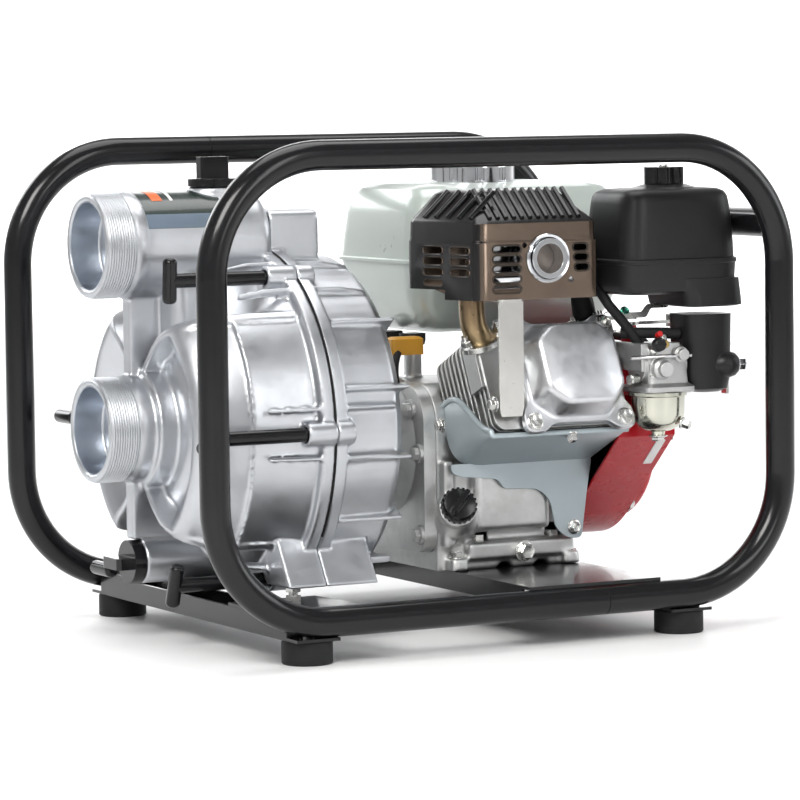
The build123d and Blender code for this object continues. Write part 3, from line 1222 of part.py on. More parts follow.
PARTS = {
    "frame_loop_front": lambda: frame_loop(True),
    "frame_loop_rear": lambda: frame_loop(False),
    "cross_tube_upper": cross_tube_upper,
    "cross_member_left": lambda: cross_member(LEFT_MEMBER_X),
    "cross_member_right": lambda: cross_member(RIGHT_MEMBER_X),
    "engine_mount_plate": engine_mount_plate,
    "pump_mount_tabs": pump_mount_tabs,
    "rubber_feet": rubber_feet,
    "foot_bolts": foot_bolts,
    "mounting_bolts": mounting_bolts,
    "pump_front_casing": pump_front_casing,
    "pump_rear_housing": pump_rear_housing,
    "casing_seal_ring": casing_seal_ring,
    "volute": volute,
    "impeller": impeller,
    "mechanical_seal": mechanical_seal,
    "engine_adapter": engine_adapter,
    "suction_check_valve": suction_check_valve,
    "fill_plug": fill_plug,
    "drain_plug": drain_plug,
    "crankcase": crankcase,
    "crankcase_cover": crankcase_cover,
    "main_bearings": main_bearings,
    "crankshaft": crankshaft,
    "connecting_rod": connecting_rod,
    "piston": piston,
    "cylinder_block": cylinder_block,
    "cylinder_head": cylinder_head,
    "valve_cover": valve_cover,
    "lower_shroud": lower_shroud,
    "flywheel_fan": flywheel_fan,
    "fan_cover": fan_cover,
    "recoil_starter_housing": recoil_starter_housing,
    "starter_pulley": starter_pulley,
    "starter_grip": starter_grip,
    "muffler": muffler,
    "muffler_guard": muffler_guard,
    "exhaust_pipe": exhaust_pipe,
    "muffler_stay": muffler_stay,
    "fuel_tank": fuel_tank,
    "fuel_cap": fuel_cap,
    "air_cleaner_elbow": air_cleaner_elbow,
    "air_cleaner_cover": air_cleaner_cover,
    "air_cleaner_knob": air_cleaner_knob,
    "air_filter_element": air_filter_element,
    "carburetor_body": carburetor_body,
    "carburetor_bowl": carburetor_bowl,
    "choke_lever": lambda: side_lever(LEVER_Z_CHOKE, 22),
    "fuel_valve_lever": lambda: side_lever(LEVER_Z_FUEL, -22),
    "throttle_lever": throttle_lever,
    "engine_switch": engine_switch,
    "oil_dipstick": oil_dipstick,
    "spark_plug": spark_plug,
    "rubber_hoses": rubber_hoses,
}

for index, turn in enumerate(REST_TURNS):
    save(f"clamp_rod_{index + 1}", clamp_rod(index, turn))

for node, build in PARTS.items():
    save(node, build())
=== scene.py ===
"""Looks of the petrol-engine trash pump: materials, fine detail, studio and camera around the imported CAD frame.

Metres, in the CAD's own frame: +Z up, -Y the cylinder-head side, -X the ports, +X the starter.
"""

import math

import bmesh
import bpy
from mathutils import Matrix, Vector


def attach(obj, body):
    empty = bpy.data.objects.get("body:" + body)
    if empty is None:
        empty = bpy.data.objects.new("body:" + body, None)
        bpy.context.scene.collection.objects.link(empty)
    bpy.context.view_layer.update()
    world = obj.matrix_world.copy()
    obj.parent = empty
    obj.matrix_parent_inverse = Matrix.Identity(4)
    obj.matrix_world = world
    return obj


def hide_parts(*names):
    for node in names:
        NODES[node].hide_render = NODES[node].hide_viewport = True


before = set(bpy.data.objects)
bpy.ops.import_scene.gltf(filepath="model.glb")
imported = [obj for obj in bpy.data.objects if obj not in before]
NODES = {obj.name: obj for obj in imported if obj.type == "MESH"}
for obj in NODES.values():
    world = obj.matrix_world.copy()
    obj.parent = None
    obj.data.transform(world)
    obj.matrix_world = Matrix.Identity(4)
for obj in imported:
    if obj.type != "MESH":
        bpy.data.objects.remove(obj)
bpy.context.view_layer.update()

MM = 0.001
ROOT = "chassis"


# ---------------------------------------------------------------- materials
class Shader:
    """Builds one Principled material from nodes, in the row frame's own coordinates."""

    def __init__(self, name):
        self.material = bpy.data.materials.new(name)
        self.material.use_nodes = True
        self.tree = self.material.node_tree
        self.bsdf = self.tree.nodes["Principled BSDF"]
        self.place = self.node("ShaderNodeTexCoord").outputs["Object"]

    def node(self, kind, inputs=None, **settings):
        made = self.tree.nodes.new(kind)
        for key, value in settings.items():
            setattr(made, key, value)
        for key, value in (inputs or {}).items():
            self.feed(made.inputs[key], value)
        return made

    def feed(self, socket, value):
        if isinstance(value, bpy.types.NodeSocket):
            self.tree.links.new(value, socket)
        else:
            socket.default_value = value

    def set(self, **values):
        for key, value in values.items():
            self.feed(self.bsdf.inputs[key.replace("_", " ")], value)

    def noise(self, scale, detail=3.0, rough=0.55, stretch=None):
        """Noise over the surface; scale is in features per metre."""
        place = self.place
        if stretch:
            place = self.node("ShaderNodeMapping", {"Vector": place, "Scale": stretch}).outputs["Vector"]
        inputs = {"Vector": place, "Scale": scale, "Detail": detail, "Roughness": rough}
        return self.node("ShaderNodeTexNoise", inputs).outputs["Fac"]

    def ramp(self, value, low, high, out_low=0.0, out_high=1.0):
        inputs = {"Value": value, "From Min": low, "From Max": high, "To Min": out_low, "To Max": out_high}
        return self.node("ShaderNodeMapRange", inputs, clamp=True).outputs["Result"]

    def mix(self, factor, a, b):
        made = self.node("ShaderNodeMix", data_type="RGBA")
        self.feed(made.inputs[0], factor)
        self.feed(made.inputs[6], a)
        self.feed(made.inputs[7], b)
        return made.outputs[2]

    def math(self, operation, a, b):
        made = self.node("ShaderNodeMath", operation=operation)
        self.feed(made.inputs[0], a)
        self.feed(made.inputs[1], b)
        return made.outputs[0]

    def edges(self, radius, low=0.995, high=0.90):
        """1 on the edges of the shape, 0 on its faces."""
        rounded = self.node("ShaderNodeBevel", {"Radius": radius}, samples=4).outputs["Normal"]
        true = self.node("ShaderNodeNewGeometry").outputs["Normal"]
        dot = self.node("ShaderNodeVectorMath", {0: rounded, 1: true}, operation="DOT_PRODUCT")
        return self.ramp(dot.outputs["Value"], low, high)

    def relief(self, layers, edge):
        """Normal from soft edges of a radius and bump layers of (height socket, strength, metres)."""
        normal = self.node("ShaderNodeBevel", {"Radius": edge}, samples=4).outputs["Normal"] if edge else None
        for height, strength, distance in layers:
            inputs = {"Height": height, "Strength": strength, "Distance": distance}
            if normal:
                inputs["Normal"] = normal
            normal = self.node("ShaderNodeBump", inputs).outputs["Normal"]
        if normal:
            self.set(Normal=normal)


def rgb(red, green, blue):
    return (red, green, blue, 1.0)


def shade(colour, factor):
    return (colour[0] * factor, colour[1] * factor, colour[2] * factor, 1.0)


def painted(name, colour, rough, metal=0.0, coat=0.0, spread=0.12, patch=14.0, grain=None, edge=0.0006,
            worn=None, shine=0.5):
    """Paint, plastic or rubber: patchy tone, uneven gloss, fine grain and softened edges."""
    s = Shader(name)
    tone = s.noise(patch, 4.0)
    base = s.mix(s.ramp(tone, 0.35, 0.68), shade(colour, 1 - spread), shade(colour, 1 + spread))
    if worn:
        worn_colour, radius, amount = worn
        patchy = s.ramp(s.noise(220.0, 3.0), 0.42, 0.62, 0.15, amount)
        base = s.mix(s.math("MULTIPLY", s.edges(radius), patchy), base, worn_colour)
    smudge = s.noise(patch * 3.1, 5.0, 0.65)
    s.set(Base_Color=base, Metallic=metal, Roughness=s.ramp(smudge, 0.3, 0.7, rough * 0.9, rough * 1.12))
    s.set(Specular_IOR_Level=shine)
    if coat:
        s.set(Coat_Weight=coat, Coat_Roughness=0.05)
    layers = []
    if grain:
        scale, strength, depth = grain
        layers.append((s.noise(scale, 4.0, 0.6), strength, depth))
    s.relief(layers, edge)
    return s.material


def metal(name, colour, rough, grain=(1400.0, 0.25, 0.0002), spread=0.08, patch=18.0, edge=0.0006, dust=0.0,
          brushed=None):
    """Bare metal: cast grain or brushing, uneven polish, brighter edges and grime where asked."""
    s = Shader(name)
    tone = s.noise(patch, 5.0, 0.6)
    base = s.mix(s.ramp(tone, 0.32, 0.7), shade(colour, 1 - spread), shade(colour, 1 + spread))
    if dust:
        soil = s.ramp(s.noise(patch * 2.3, 6.0, 0.7), 0.5, 0.78, 0.0, dust)
        base = s.mix(soil, base, rgb(0.16, 0.14, 0.12))
    base = s.mix(s.math("MULTIPLY", s.edges(0.0011), 0.5), base, shade(colour, 1.25))
    scuff = s.noise(patch * 5.0, 5.0, 0.7)
    s.set(Base_Color=base, Metallic=1.0, Roughness=s.ramp(scuff, 0.3, 0.7, rough * 0.8, rough * 1.2))
    layers = []
    if brushed:
        layers.append((s.noise(90.0, 2.0, 0.5, brushed), 0.12, 0.0001))
    if grain:
        scale, strength, depth = grain
        layers.append((s.noise(scale, 3.0, 0.65), strength, depth))
    s.relief(layers, edge)
    return s.material


def heat_steel(name):
    """Chromed pipe that has gone straw and bronze with heat."""
    s = Shader(name)
    height = s.node("ShaderNodeSeparateXYZ", {"Vector": s.place}).outputs["Z"]
    band = s.ramp(s.math("ADD", height, s.math("MULTIPLY", s.noise(30.0), 0.02)), 0.258, 0.312)
    base = s.mix(band, rgb(0.36, 0.27, 0.15), rgb(0.24, 0.16, 0.10))
    s.set(Base_Color=base, Metallic=1.0, Roughness=s.ramp(s.noise(120.0), 0.3, 0.7, 0.24, 0.40))
    s.relief([(s.noise(500.0), 0.1, 0.0002)], 0.0006)
    return s.material


def guard_with_painted_reflection(name):
    """Dark glossy guard whose front wall has a painted bronze reflection: colour and metal that only the side facing
    the front gets.
    """
    s = Shader(name)
    normal = s.node("ShaderNodeTexCoord").outputs["Normal"]
    turned_y = s.node("ShaderNodeSeparateXYZ", {"Vector": normal}).outputs["Y"]
    # painted reflection: bronze colour and metal only where the surface faces the front (-Y)
    front = s.ramp(s.math("MULTIPLY", turned_y, -1.0), 0.80, 0.97)
    patchy = s.ramp(s.noise(16.0, 4.0), 0.3, 0.7, 0.7, 1.0)
    base = s.mix(s.math("MULTIPLY", front, patchy), rgb(0.012, 0.011, 0.011), rgb(0.26, 0.195, 0.15))
    base = s.mix(s.math("MULTIPLY", s.edges(0.0009), 0.5), base, rgb(0.22, 0.17, 0.13))
    s.set(Base_Color=base, Metallic=s.math("MULTIPLY", front, 0.85), Specular_IOR_Level=0.4)
    s.set(Roughness=s.ramp(s.noise(60.0), 0.3, 0.7, 0.17, 0.25))
    s.relief([(s.noise(500.0), 0.06, 0.0002)], 0.0010)
    return s.material


def paper(name):
    """Pleated filter paper."""
    s = Shader(name)
    s.set(Base_Color=s.mix(s.noise(60.0), rgb(0.50, 0.36, 0.16), rgb(0.66, 0.52, 0.28)), Roughness=0.9)
    s.relief([(s.noise(900.0), 0.4, 0.0003)], 0.0)
    return s.material


def floor_paint(name):
    """Plain pale studio floor."""
    s = Shader(name)
    s.set(Base_Color=s.mix(s.noise(0.6), rgb(0.86, 0.86, 0.865), rgb(0.90, 0.90, 0.90)), Roughness=0.55)
    return s.material


FINISHES = {made.name.split(".")[0]: made for made in (
    painted("cage_black", rgb(0.006, 0.006, 0.007), 0.20, coat=0.15, shine=0.30, grain=(260.0, 0.04, 0.0003),
            worn=(rgb(0.05, 0.048, 0.045), 0.0012, 0.4)),
    metal("cast_silver", rgb(0.56, 0.575, 0.60), 0.36, grain=(1500.0, 0.35, 0.00025), spread=0.10, patch=9.0,
          edge=0.0016),
    metal("bare_casting", rgb(0.58, 0.585, 0.58), 0.42, grain=(1300.0, 0.45, 0.0003), spread=0.14, edge=0.0012,
          dust=0.25),
    metal("cast_iron", rgb(0.20, 0.19, 0.18), 0.55, grain=(900.0, 0.6, 0.0004), dust=0.4),
    metal("machined_steel", rgb(0.62, 0.62, 0.63), 0.22, grain=None, brushed=(6.0, 0.4, 6.0)),
    metal("zinc_bolt", rgb(0.66, 0.66, 0.64), 0.26, grain=(700.0, 0.1, 0.0001), spread=0.12, dust=0.12),
    painted("black_plastic", rgb(0.010, 0.010, 0.011), 0.38, shine=0.32, edge=0.0012,
            grain=(2300.0, 0.35, 0.00012), worn=(rgb(0.035, 0.035, 0.036), 0.0012, 0.35)),
    painted("gloss_black_plastic", rgb(0.007, 0.007, 0.008), 0.17, coat=0.1, shine=0.35, edge=0.0010,
            grain=(500.0, 0.04, 0.0002)),
    painted("black_rubber", rgb(0.012, 0.012, 0.013), 0.60, shine=0.25, grain=(1300.0, 0.4, 0.0002),
            edge=0.0012, worn=(rgb(0.05, 0.048, 0.046), 0.0014, 0.4)),
    painted("tank_paint", rgb(0.47, 0.52, 0.49), 0.30, metal=0.25, coat=0.25, spread=0.03, patch=6.0,
            grain=(900.0, 0.03, 0.0001), edge=0.0010),
    painted("shroud_paint", rgb(0.40, 0.46, 0.49), 0.32, metal=0.35, coat=0.2, spread=0.05, patch=8.0,
            grain=(900.0, 0.03, 0.0001), edge=0.0008),
    painted("red_paint", rgb(0.46, 0.004, 0.012), 0.28, coat=0.15, shine=0.3, spread=0.08,
            grain=(420.0, 0.03, 0.0002), edge=0.0012, worn=(rgb(0.55, 0.05, 0.05), 0.0010, 0.3)),
    guard_with_painted_reflection("guard_dark"),
    metal("bright_chrome", rgb(0.74, 0.75, 0.77), 0.10, grain=(300.0, 0.04, 0.0002), spread=0.05),
    heat_steel("heat_steel"),
    paper("filter_paper"),
    metal("bright_casting", rgb(0.66, 0.67, 0.69), 0.36, grain=(1700.0, 0.15, 0.0001), spread=0.05, edge=0.0016),
    metal("port_bore", rgb(0.46, 0.50, 0.56), 0.34, grain=(700.0, 0.3, 0.0002), brushed=(60.0, 4.0, 4.0)),
    metal("stay_steel", rgb(0.72, 0.71, 0.68), 0.24, grain=(400.0, 0.1, 0.0002), spread=0.12),
    metal("arrester_mesh", rgb(0.22, 0.19, 0.17), 0.5, grain=(1500.0, 0.9, 0.0006)),
    metal("bowl_zinc", rgb(0.60, 0.60, 0.52), 0.20, grain=(500.0, 0.08, 0.0001), spread=0.10),
    metal("brass", rgb(0.62, 0.44, 0.16), 0.28, grain=(600.0, 0.1, 0.0001)),
    metal("green_zinc", rgb(0.10, 0.42, 0.30), 0.3, grain=(600.0, 0.1, 0.0001)),
    painted("red_plastic", rgb(0.55, 0.01, 0.01), 0.35, grain=(900.0, 0.1, 0.0001)),
    painted("amber_plastic", rgb(0.55, 0.27, 0.03), 0.35, grain=(500.0, 0.1, 0.0002)),
    painted("label_dark", rgb(0.018, 0.030, 0.026), 0.25, coat=0.4, grain=(300.0, 0.05, 0.0002)),
    painted("label_band", rgb(0.13, 0.17, 0.22), 0.3, coat=0.3, grain=(300.0, 0.05, 0.0002)),
    painted("label_orange", rgb(0.70, 0.13, 0.02), 0.3, grain=(300.0, 0.05, 0.0002)),
    painted("label_white", rgb(0.78, 0.78, 0.76), 0.35, grain=(300.0, 0.05, 0.0002)),
)}


def dress_cad():
    """Gives every CAD node its finish by the record's slot name."""
    for node in NODES.values():
        for place in node.material_slots:
            slot_name = place.material.name.split(".")[0]
            place.material = FINISHES[slot_name]


# ---------------------------------------------------------------- mesh building, drawn in millimetres
SHARP_ANGLE = math.radians(34)  # edges sharper than this stay crisp
BORE = Matrix(((1, 0, 0, 80), (0, 0.4226, -0.9063, 19), (0, 0.9063, 0.4226, 157), (0, 0, 0, 1)))
UPRIGHT = Matrix.Identity(4)
FORWARD = (0, -1, 0)
STARTER_WARD = (1, 0, 0)
UP = (0, 0, 1)
SHAFT_Y = 19.0
SHAFT_Z = 157.0
PORT_Z = 185.0
DISCHARGE_Z = 343.6
PORT_FACE_X = -286.35


def facing(origin, axis, up=UP):
    """Placement at origin whose own +Z points along axis and whose own +Y leans towards up."""
    z = Vector(axis).normalized()
    x = Vector(up).cross(z)
    if x.length < 0.001:
        x = Vector((0, 1, 0)).cross(z)
    x.normalize()
    y = z.cross(x)
    return Matrix.Translation(origin) @ Matrix((x, y, z)).transposed().to_4x4()


def rounded(points, radius, steps=4, closed=True):
    """Outline with rounded corners; radius is one value, or one per corner."""
    outline = []
    count = len(points)
    for i, point in enumerate(points):
        corner = Vector(point)
        if not closed and i in (0, count - 1):
            outline.append(corner)
            continue
        before, after = Vector(points[i - 1]) - corner, Vector(points[(i + 1) % count]) - corner
        wanted = radius[i] if isinstance(radius, (list, tuple)) else radius
        reach = min(wanted, before.length * 0.49, after.length * 0.49)
        start, end = corner + before.normalized() * reach, corner + after.normalized() * reach
        for k in range(steps + 1):
            share = k / steps
            outline.append(start.lerp(corner, share).lerp(corner.lerp(end, share), share))
    return outline


def rectangle(x0, x1, y0, y1, radius=0.0, steps=4):
    """Rounded rectangle between two corners."""
    return rounded([(x0, y0), (x1, y0), (x1, y1), (x0, y1)], max(radius, 0.01), steps)


def loops(bm, rings, caps=True, wrap=False):
    """Quads between rings that have the same number of points."""
    rows = [[bm.verts.new(point) for point in ring] for ring in rings]
    pairs = list(zip(rows, rows[1:])) + ([(rows[-1], rows[0])] if wrap else [])
    for low, high in pairs:
        for i in range(len(low)):
            k = (i + 1) % len(low)
            bm.faces.new((low[i], low[k], high[k], high[i]))
    if caps and not wrap:
        bm.faces.new(list(reversed(rows[0])))
        bm.faces.new(rows[-1])
    return rows


def stack(bm, levels, place=UPRIGHT, caps=True, wrap=False):
    """Body through outlines at heights: levels are (outline, height)."""
    loops(bm, [[place @ Vector((p[0], p[1], height)) for p in outline] for outline, height in levels], caps, wrap)


def plate(bm, outline, low, high, place=UPRIGHT):
    """Flat plate of an outline."""
    stack(bm, [(outline, low), (outline, high)], place)


def lathe(bm, profile, place, steps=48, wrap=False):
    """Turned body about the place's own +Z from (radius, height) points."""
    rings = []
    for radius, height in profile:
        turns = [2 * math.pi * i / steps for i in range(steps)]
        rings.append([place @ Vector((radius * math.cos(a), radius * math.sin(a), height)) for a in turns])
    loops(bm, rings, not wrap, wrap)


def hexagon(radius):
    return [(radius * math.cos(math.radians(60 * i)), radius * math.sin(math.radians(60 * i))) for i in range(6)]


def hex_bolt(bm, place, across=10.0, height=6.0, washer=1.35):
    """Flanged hexagon bolt head with a chamfered, slightly dished top."""
    corner = across / math.sqrt(3)
    rim = corner * washer
    lathe(bm, [(0, 0), (rim, 0), (rim, 0.9), (corner * 1.04, 1.9), (0, 1.9)], place, 24)
    levels = [(hexagon(corner), 1.6), (hexagon(corner), height - 0.9), (hexagon(corner * 0.86), height)]
    stack(bm, levels + [(hexagon(corner * 0.55), height - 0.5)], place)


def screw(bm, place, radius=4.0):
    """Pan-head screw with a plain domed top."""
    profile = [(0, 0), (radius, 0), (radius, 1.0), (radius * 0.82, 2.1), (radius * 0.4, 2.6), (0, 2.7)]
    lathe(bm, profile, place, 20)


def capsule(length, width, steps=5):
    """Slot outline with round ends, along its own X."""
    half, radius = length / 2 - width / 2, width / 2
    points = []
    for side, start in ((1, -90), (-1, 90)):
        for k in range(steps + 1):
            angle = math.radians(start + 180 * k / steps)
            points.append((side * half + radius * math.cos(angle), radius * math.sin(angle)))
    return points


def settle(bm):
    """Welds the mesh, turns its faces outwards and marks the edges that stay sharp."""
    bmesh.ops.remove_doubles(bm, verts=bm.verts, dist=0.002)
    bmesh.ops.recalc_face_normals(bm, faces=bm.faces)
    for edge in bm.edges:
        if len(edge.link_faces) == 2:
            edge.smooth = edge.calc_face_angle(0.0) < SHARP_ANGLE
    for face in bm.faces:
        face.smooth = True


def own(made, finish, body=ROOT, stands_for=()):
    """Gives a new object its finish and its body, and hides the CAD nodes it stands for."""
    made.data.materials.append(FINISHES[finish])
    bpy.context.scene.collection.objects.link(made)
    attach(made, body)
    if stands_for:
        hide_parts(*stands_for)
    return made


def piece(name, bm, finish, body=ROOT, stands_for=()):
    """Makes a piece of the object from a mesh drawn in millimetres."""
    settle(bm)
    bmesh.ops.scale(bm, vec=(MM, MM, MM), verts=bm.verts)
    mesh = bpy.data.meshes.new(name)
    bm.to_mesh(mesh)
    bm.free()
    return own(bpy.data.objects.new(name, mesh), finish, body, stands_for)


def wire(name, points, radius, finish, body=ROOT, smooth=True, stands_for=()):
    """Round wire, rod or hose along points."""
    curve = bpy.data.curves.new(name, "CURVE")
    curve.dimensions = "3D"
    curve.bevel_depth = radius * MM
    curve.bevel_resolution = 5
    curve.use_fill_caps = True
    spline = curve.splines.new("NURBS" if smooth else "POLY")
    spline.points.add(len(points) - 1)
    for control, point in zip(spline.points, points):
        control.co = (*(Vector(point) * MM), 1.0)
    if smooth:
        spline.order_u = 4 if len(points) > 3 else 3
        spline.use_endpoint_u = True
        spline.resolution_u = 10
    return own(bpy.data.objects.new(name, curve), finish, body, stands_for)


def coil(name, start, end, radius, turns, thick, finish):
    """Small coil spring between two points with a straight hook at each end."""
    a, b = Vector(start), Vector(end)
    place = facing(a, b - a)
    length = (b - a).length
    points = [a]
    steps = turns * 10
    for i in range(steps + 1):
        angle = 2 * math.pi * i / 10
        height = length * (0.12 + 0.76 * i / steps)
        points.append(place @ Vector((radius * math.cos(angle), radius * math.sin(angle), height)))
    points.append(b)
    return wire(name, points, thick, finish)


def bolt_circle(bm, x, radius, turns, across, height):
    """Bolt heads round the shaft's axis, facing the starter; turns are degrees from the rear."""
    for degrees in turns:
        angle = math.radians(degrees)
        place = (x, SHAFT_Y + radius * math.cos(angle), SHAFT_Z + radius * math.sin(angle))
        hex_bolt(bm, facing(place, STARTER_WARD), across, height)


def wrapped_band(name, finish, section, centre_z, start, end, steps):
    """Band of a four-cornered (x, radius) section that wraps an X axis; degrees from its top towards the front."""
    bm = bmesh.new()
    rings = []
    for x, radius in section:
        ring = []
        for i in range(steps + 1):
            angle = math.radians(start + (end - start) * i / steps)
            ring.append((x, SHAFT_Y - radius * math.sin(angle), centre_z + radius * math.cos(angle)))
        rings.append(ring)
    rows = [[bm.verts.new(p) for p in ring] for ring in rings]
    for low, high in zip(rows, rows[1:] + rows[:1]):
        for i in range(steps):
            bm.faces.new((low[i], low[i + 1], high[i + 1], high[i]))
    bm.faces.new([row[0] for row in rows])
    bm.faces.new([row[-1] for row in reversed(rows)])
    piece(name, bm, finish)


def as_object(bm):
    """Throwaway object for a boolean."""
    bmesh.ops.recalc_face_normals(bm, faces=bm.faces)
    mesh = bpy.data.meshes.new("tool")
    bm.to_mesh(mesh)
    bm.free()
    made = bpy.data.objects.new("tool", mesh)
    bpy.context.scene.collection.objects.link(made)
    return made


def carve(bm, tool):
    """Takes the tool mesh away from bm; both are closed."""
    shape, cutter = as_object(bm), as_object(tool)
    modifier = shape.modifiers.new("cut", "BOOLEAN")
    modifier.operation = "DIFFERENCE"
    modifier.solver = "EXACT"
    modifier.object = cutter
    bpy.context.view_layer.update()
    evaluated = shape.evaluated_get(bpy.context.evaluated_depsgraph_get())
    result = bmesh.new()
    result.from_mesh(evaluated.to_mesh())
    bpy.data.objects.remove(shape)
    bpy.data.objects.remove(cutter)
    return result


def cast(name, node, finish, extra=None, voxel=1.7, passes=4):
    """Casting from a CAD node and added volumes, melted together so that its corners are filleted."""
    bm = extra or bmesh.new()
    if extra:
        settle(bm)
    whole = bmesh.new()
    whole.from_mesh(NODES[node].data)
    bmesh.ops.scale(whole, vec=(1 / MM, 1 / MM, 1 / MM), verts=whole.verts)
    joined = bpy.data.meshes.new("joined")
    bm.to_mesh(joined)
    bm.free()
    whole.from_mesh(joined)
    made = piece(name, whole, finish, stands_for=(node,))
    melt = made.modifiers.new("melt", "REMESH")
    melt.mode = "VOXEL"
    melt.voxel_size = voxel * MM
    melt.use_smooth_shade = True
    soften = made.modifiers.new("soften", "SMOOTH")
    soften.factor = 0.5
    soften.iterations = passes
    return made


# ---------------------------------------------------------------- pump detail
PORT_R = 44.45
THREAD_PITCH = 2.3


def port_thread(name, height):
    """Helical hose thread proud of a port's crest, with a chamfered lead-in."""
    place = facing((PORT_FACE_X, SHAFT_Y, height), (1, 0, 0))
    steps, along, run = 96, 78, 27.0
    rings = []
    for j in range(along + 1):
        reach = run * j / along
        fade = min(1.0, (reach + 0.6) / 4.0, (run - reach) / 3.0 + 0.05)
        ring = []
        for i in range(steps):
            angle = 2 * math.pi * i / steps
            phase = (reach / THREAD_PITCH - i / steps) % 1.0
            tooth = 1.0 - abs(2.0 * phase - 1.0)
            radius = PORT_R + 0.1 + 1.25 * tooth * fade
            ring.append(place @ Vector((radius * math.cos(angle), radius * math.sin(angle), reach + 1.0)))
        rings.append(ring)
    inner = [[place @ Vector(((PORT_R - 0.6) * math.cos(2 * math.pi * i / steps),
                              (PORT_R - 0.6) * math.sin(2 * math.pi * i / steps), z)) for i in range(steps)]
             for z in (run + 1.0, 1.0)]
    bm = bmesh.new()
    loops(bm, rings + inner, wrap=True)
    piece(name, bm, "cast_silver")


def port_lining(name, height, depth):
    """Machined bore just inside a port's mouth."""
    bm = bmesh.new()
    place = facing((PORT_FACE_X, SHAFT_Y, height), (1, 0, 0))
    lathe(bm, [(38.02, 1.2), (38.02, depth), (37.5, depth), (37.5, 2.0), (37.7, 1.3)], place, 72, wrap=True)
    piece(name, bm, "port_bore")


LABEL_THICK = 0.35


def curved_panel(name, finish, x0, x1, start, end, radius):
    """Thin label that wraps the discharge pipe between two angles from its top towards the front."""
    crest = radius + LABEL_THICK
    section = ((x0, radius), (x0, crest), (x1, crest), (x1, radius))
    wrapped_band(name, finish, section, DISCHARGE_Z, start, end, 20)


def discharge_label():
    """Blank two-tone label on the discharge pipe, with plain colour blocks in place of its wording."""
    curved_panel("discharge_label", "label_dark", -247, -172, -14, 54, 45.3)
    curved_panel("discharge_label_band", "label_band", -247, -172, 54, 71, 45.3)
    curved_panel("discharge_label_stripe", "label_orange", -236, -226, -8, 34, 45.6)
    curved_panel("discharge_label_line", "label_white", -219, -216, -8, 34, 45.6)


def pump_castings():
    """Both casing halves as castings: corners filleted, with the bosses and pads of the real ones."""
    extra = bmesh.new()
    for height in (PORT_Z, DISCHARGE_Z):
        collar = facing((PORT_FACE_X + 29.0, SHAFT_Y, height), (1, 0, 0))
        lathe(extra, [(40, 0), (PORT_R + 0.4, 0), (PORT_R + 1.6, 2.0), (PORT_R + 1.6, 9.0), (40, 9.0)], collar, 72)
    neck = facing((-166.0, SHAFT_Y, 384.0), UP)
    lathe(extra, [(16, -14), (24, -14), (21.5, -2), (22.5, 0), (22.5, 7), (16, 7)], neck, 48, wrap=True)
    cast("front_casing_casting", "pump_front_casing", "cast_silver", extra, voxel=1.6)
    cast("rear_housing_casting", "pump_rear_housing", "cast_silver", voxel=1.6)


def casing_bead():
    """Rubber line of the seal that shows in the groove between the two casing flanges."""
    section = ((-127.6, 150.5), (-127.6, 154.6), (-126.4, 154.6), (-126.4, 150.5))
    wrapped_band("casing_joint_line", "black_rubber", section, PORT_Z, -126, 126, 120)


def pump_detail():
    """All the visual pieces of the pump."""
    pump_castings()
    port_thread("suction_thread", PORT_Z)
    port_thread("discharge_thread", DISCHARGE_Z)
    port_lining("suction_bore_lining", PORT_Z, 40)
    port_lining("discharge_bore_lining", DISCHARGE_Z, 100)
    discharge_label()
    casing_bead()


# ---------------------------------------------------------------- engine detail
def on_bore(x, v, t):
    """Point in the cylinder bore's frame; t runs along the bore from the crank axis."""
    return BORE @ Vector((x, v, t))


def valve_cover():
    """Cast rocker cover: eared flange, four flange bolts and a crowned body with chamfered corners."""
    place = BORE @ Matrix.Translation((23, -1, 160)) @ Matrix.Diagonal((1.17, 1.21, 1.18, 1))
    ears = [(-47, -44), (-31, -44), (-24, -38), (24, -38), (31, -44), (47, -44), (47, -29), (41, -22), (41, 22),
            (47, 29), (47, 44), (31, 44), (24, 39), (-24, 39), (-31, 44), (-47, 44), (-47, 29), (-41, 22),
            (-41, -22), (-47, -29)]
    flange = rounded(ears, 7.0, 4)
    bm = bmesh.new()
    chamfered = [p * 0.985 for p in flange]
    stack(bm, [(chamfered, 0), (flange, 0.8), (flange, 4.6), (chamfered, 5.6)], place)

    def crown(scale, corner):
        outline = [(-37, -21), (-20, -34), (23, -34), (37, -20), (37, 23), (25, 35), (-22, 35), (-37, 22)]
        return rounded([(x * scale, v * scale) for x, v in outline], corner, 3)

    levels = [(crown(1.06, 5), 5.0), (crown(1.01, 5), 6.5), (crown(0.99, 5), 9.5), (crown(0.92, 5), 22.0),
              (crown(0.895, 5), 24.6), (crown(0.855, 5), 26.3), (crown(0.80, 4), 27.2), (crown(0.30, 2), 28.0)]
    stack(bm, levels, place)
    piece("valve_cover_casting", bm, "bright_casting", stands_for=("valve_cover",))
    bolts = bmesh.new()
    for x in (-38.5, 38.5):
        for v in (-36, 36.5):
            hex_bolt(bolts, place @ Matrix.Translation((x, v, 5.5)), 8.5, 5.0)
    piece("valve_cover_bolts", bolts, "zinc_bolt")


SHROUD_RUNS = ((76, 4), (90, 6), (104, 4), (116, -6), (126, -20), (136, -34), (146, -43), (153, -46))


def shroud_section(t, top):
    """Cross-section of the pressed shroud at one distance along the bore: left wall, round corner, floor."""
    floor = -51.5
    left = -60.0
    corner = rounded([(left, top), (left, floor), (76, floor)], [0, 26, 0], 8, closed=False)
    points = [corner[0], corner[0].lerp(corner[1], 0.5)] + corner[1:]
    return [on_bore(p.x, p.y, t) for p in points]


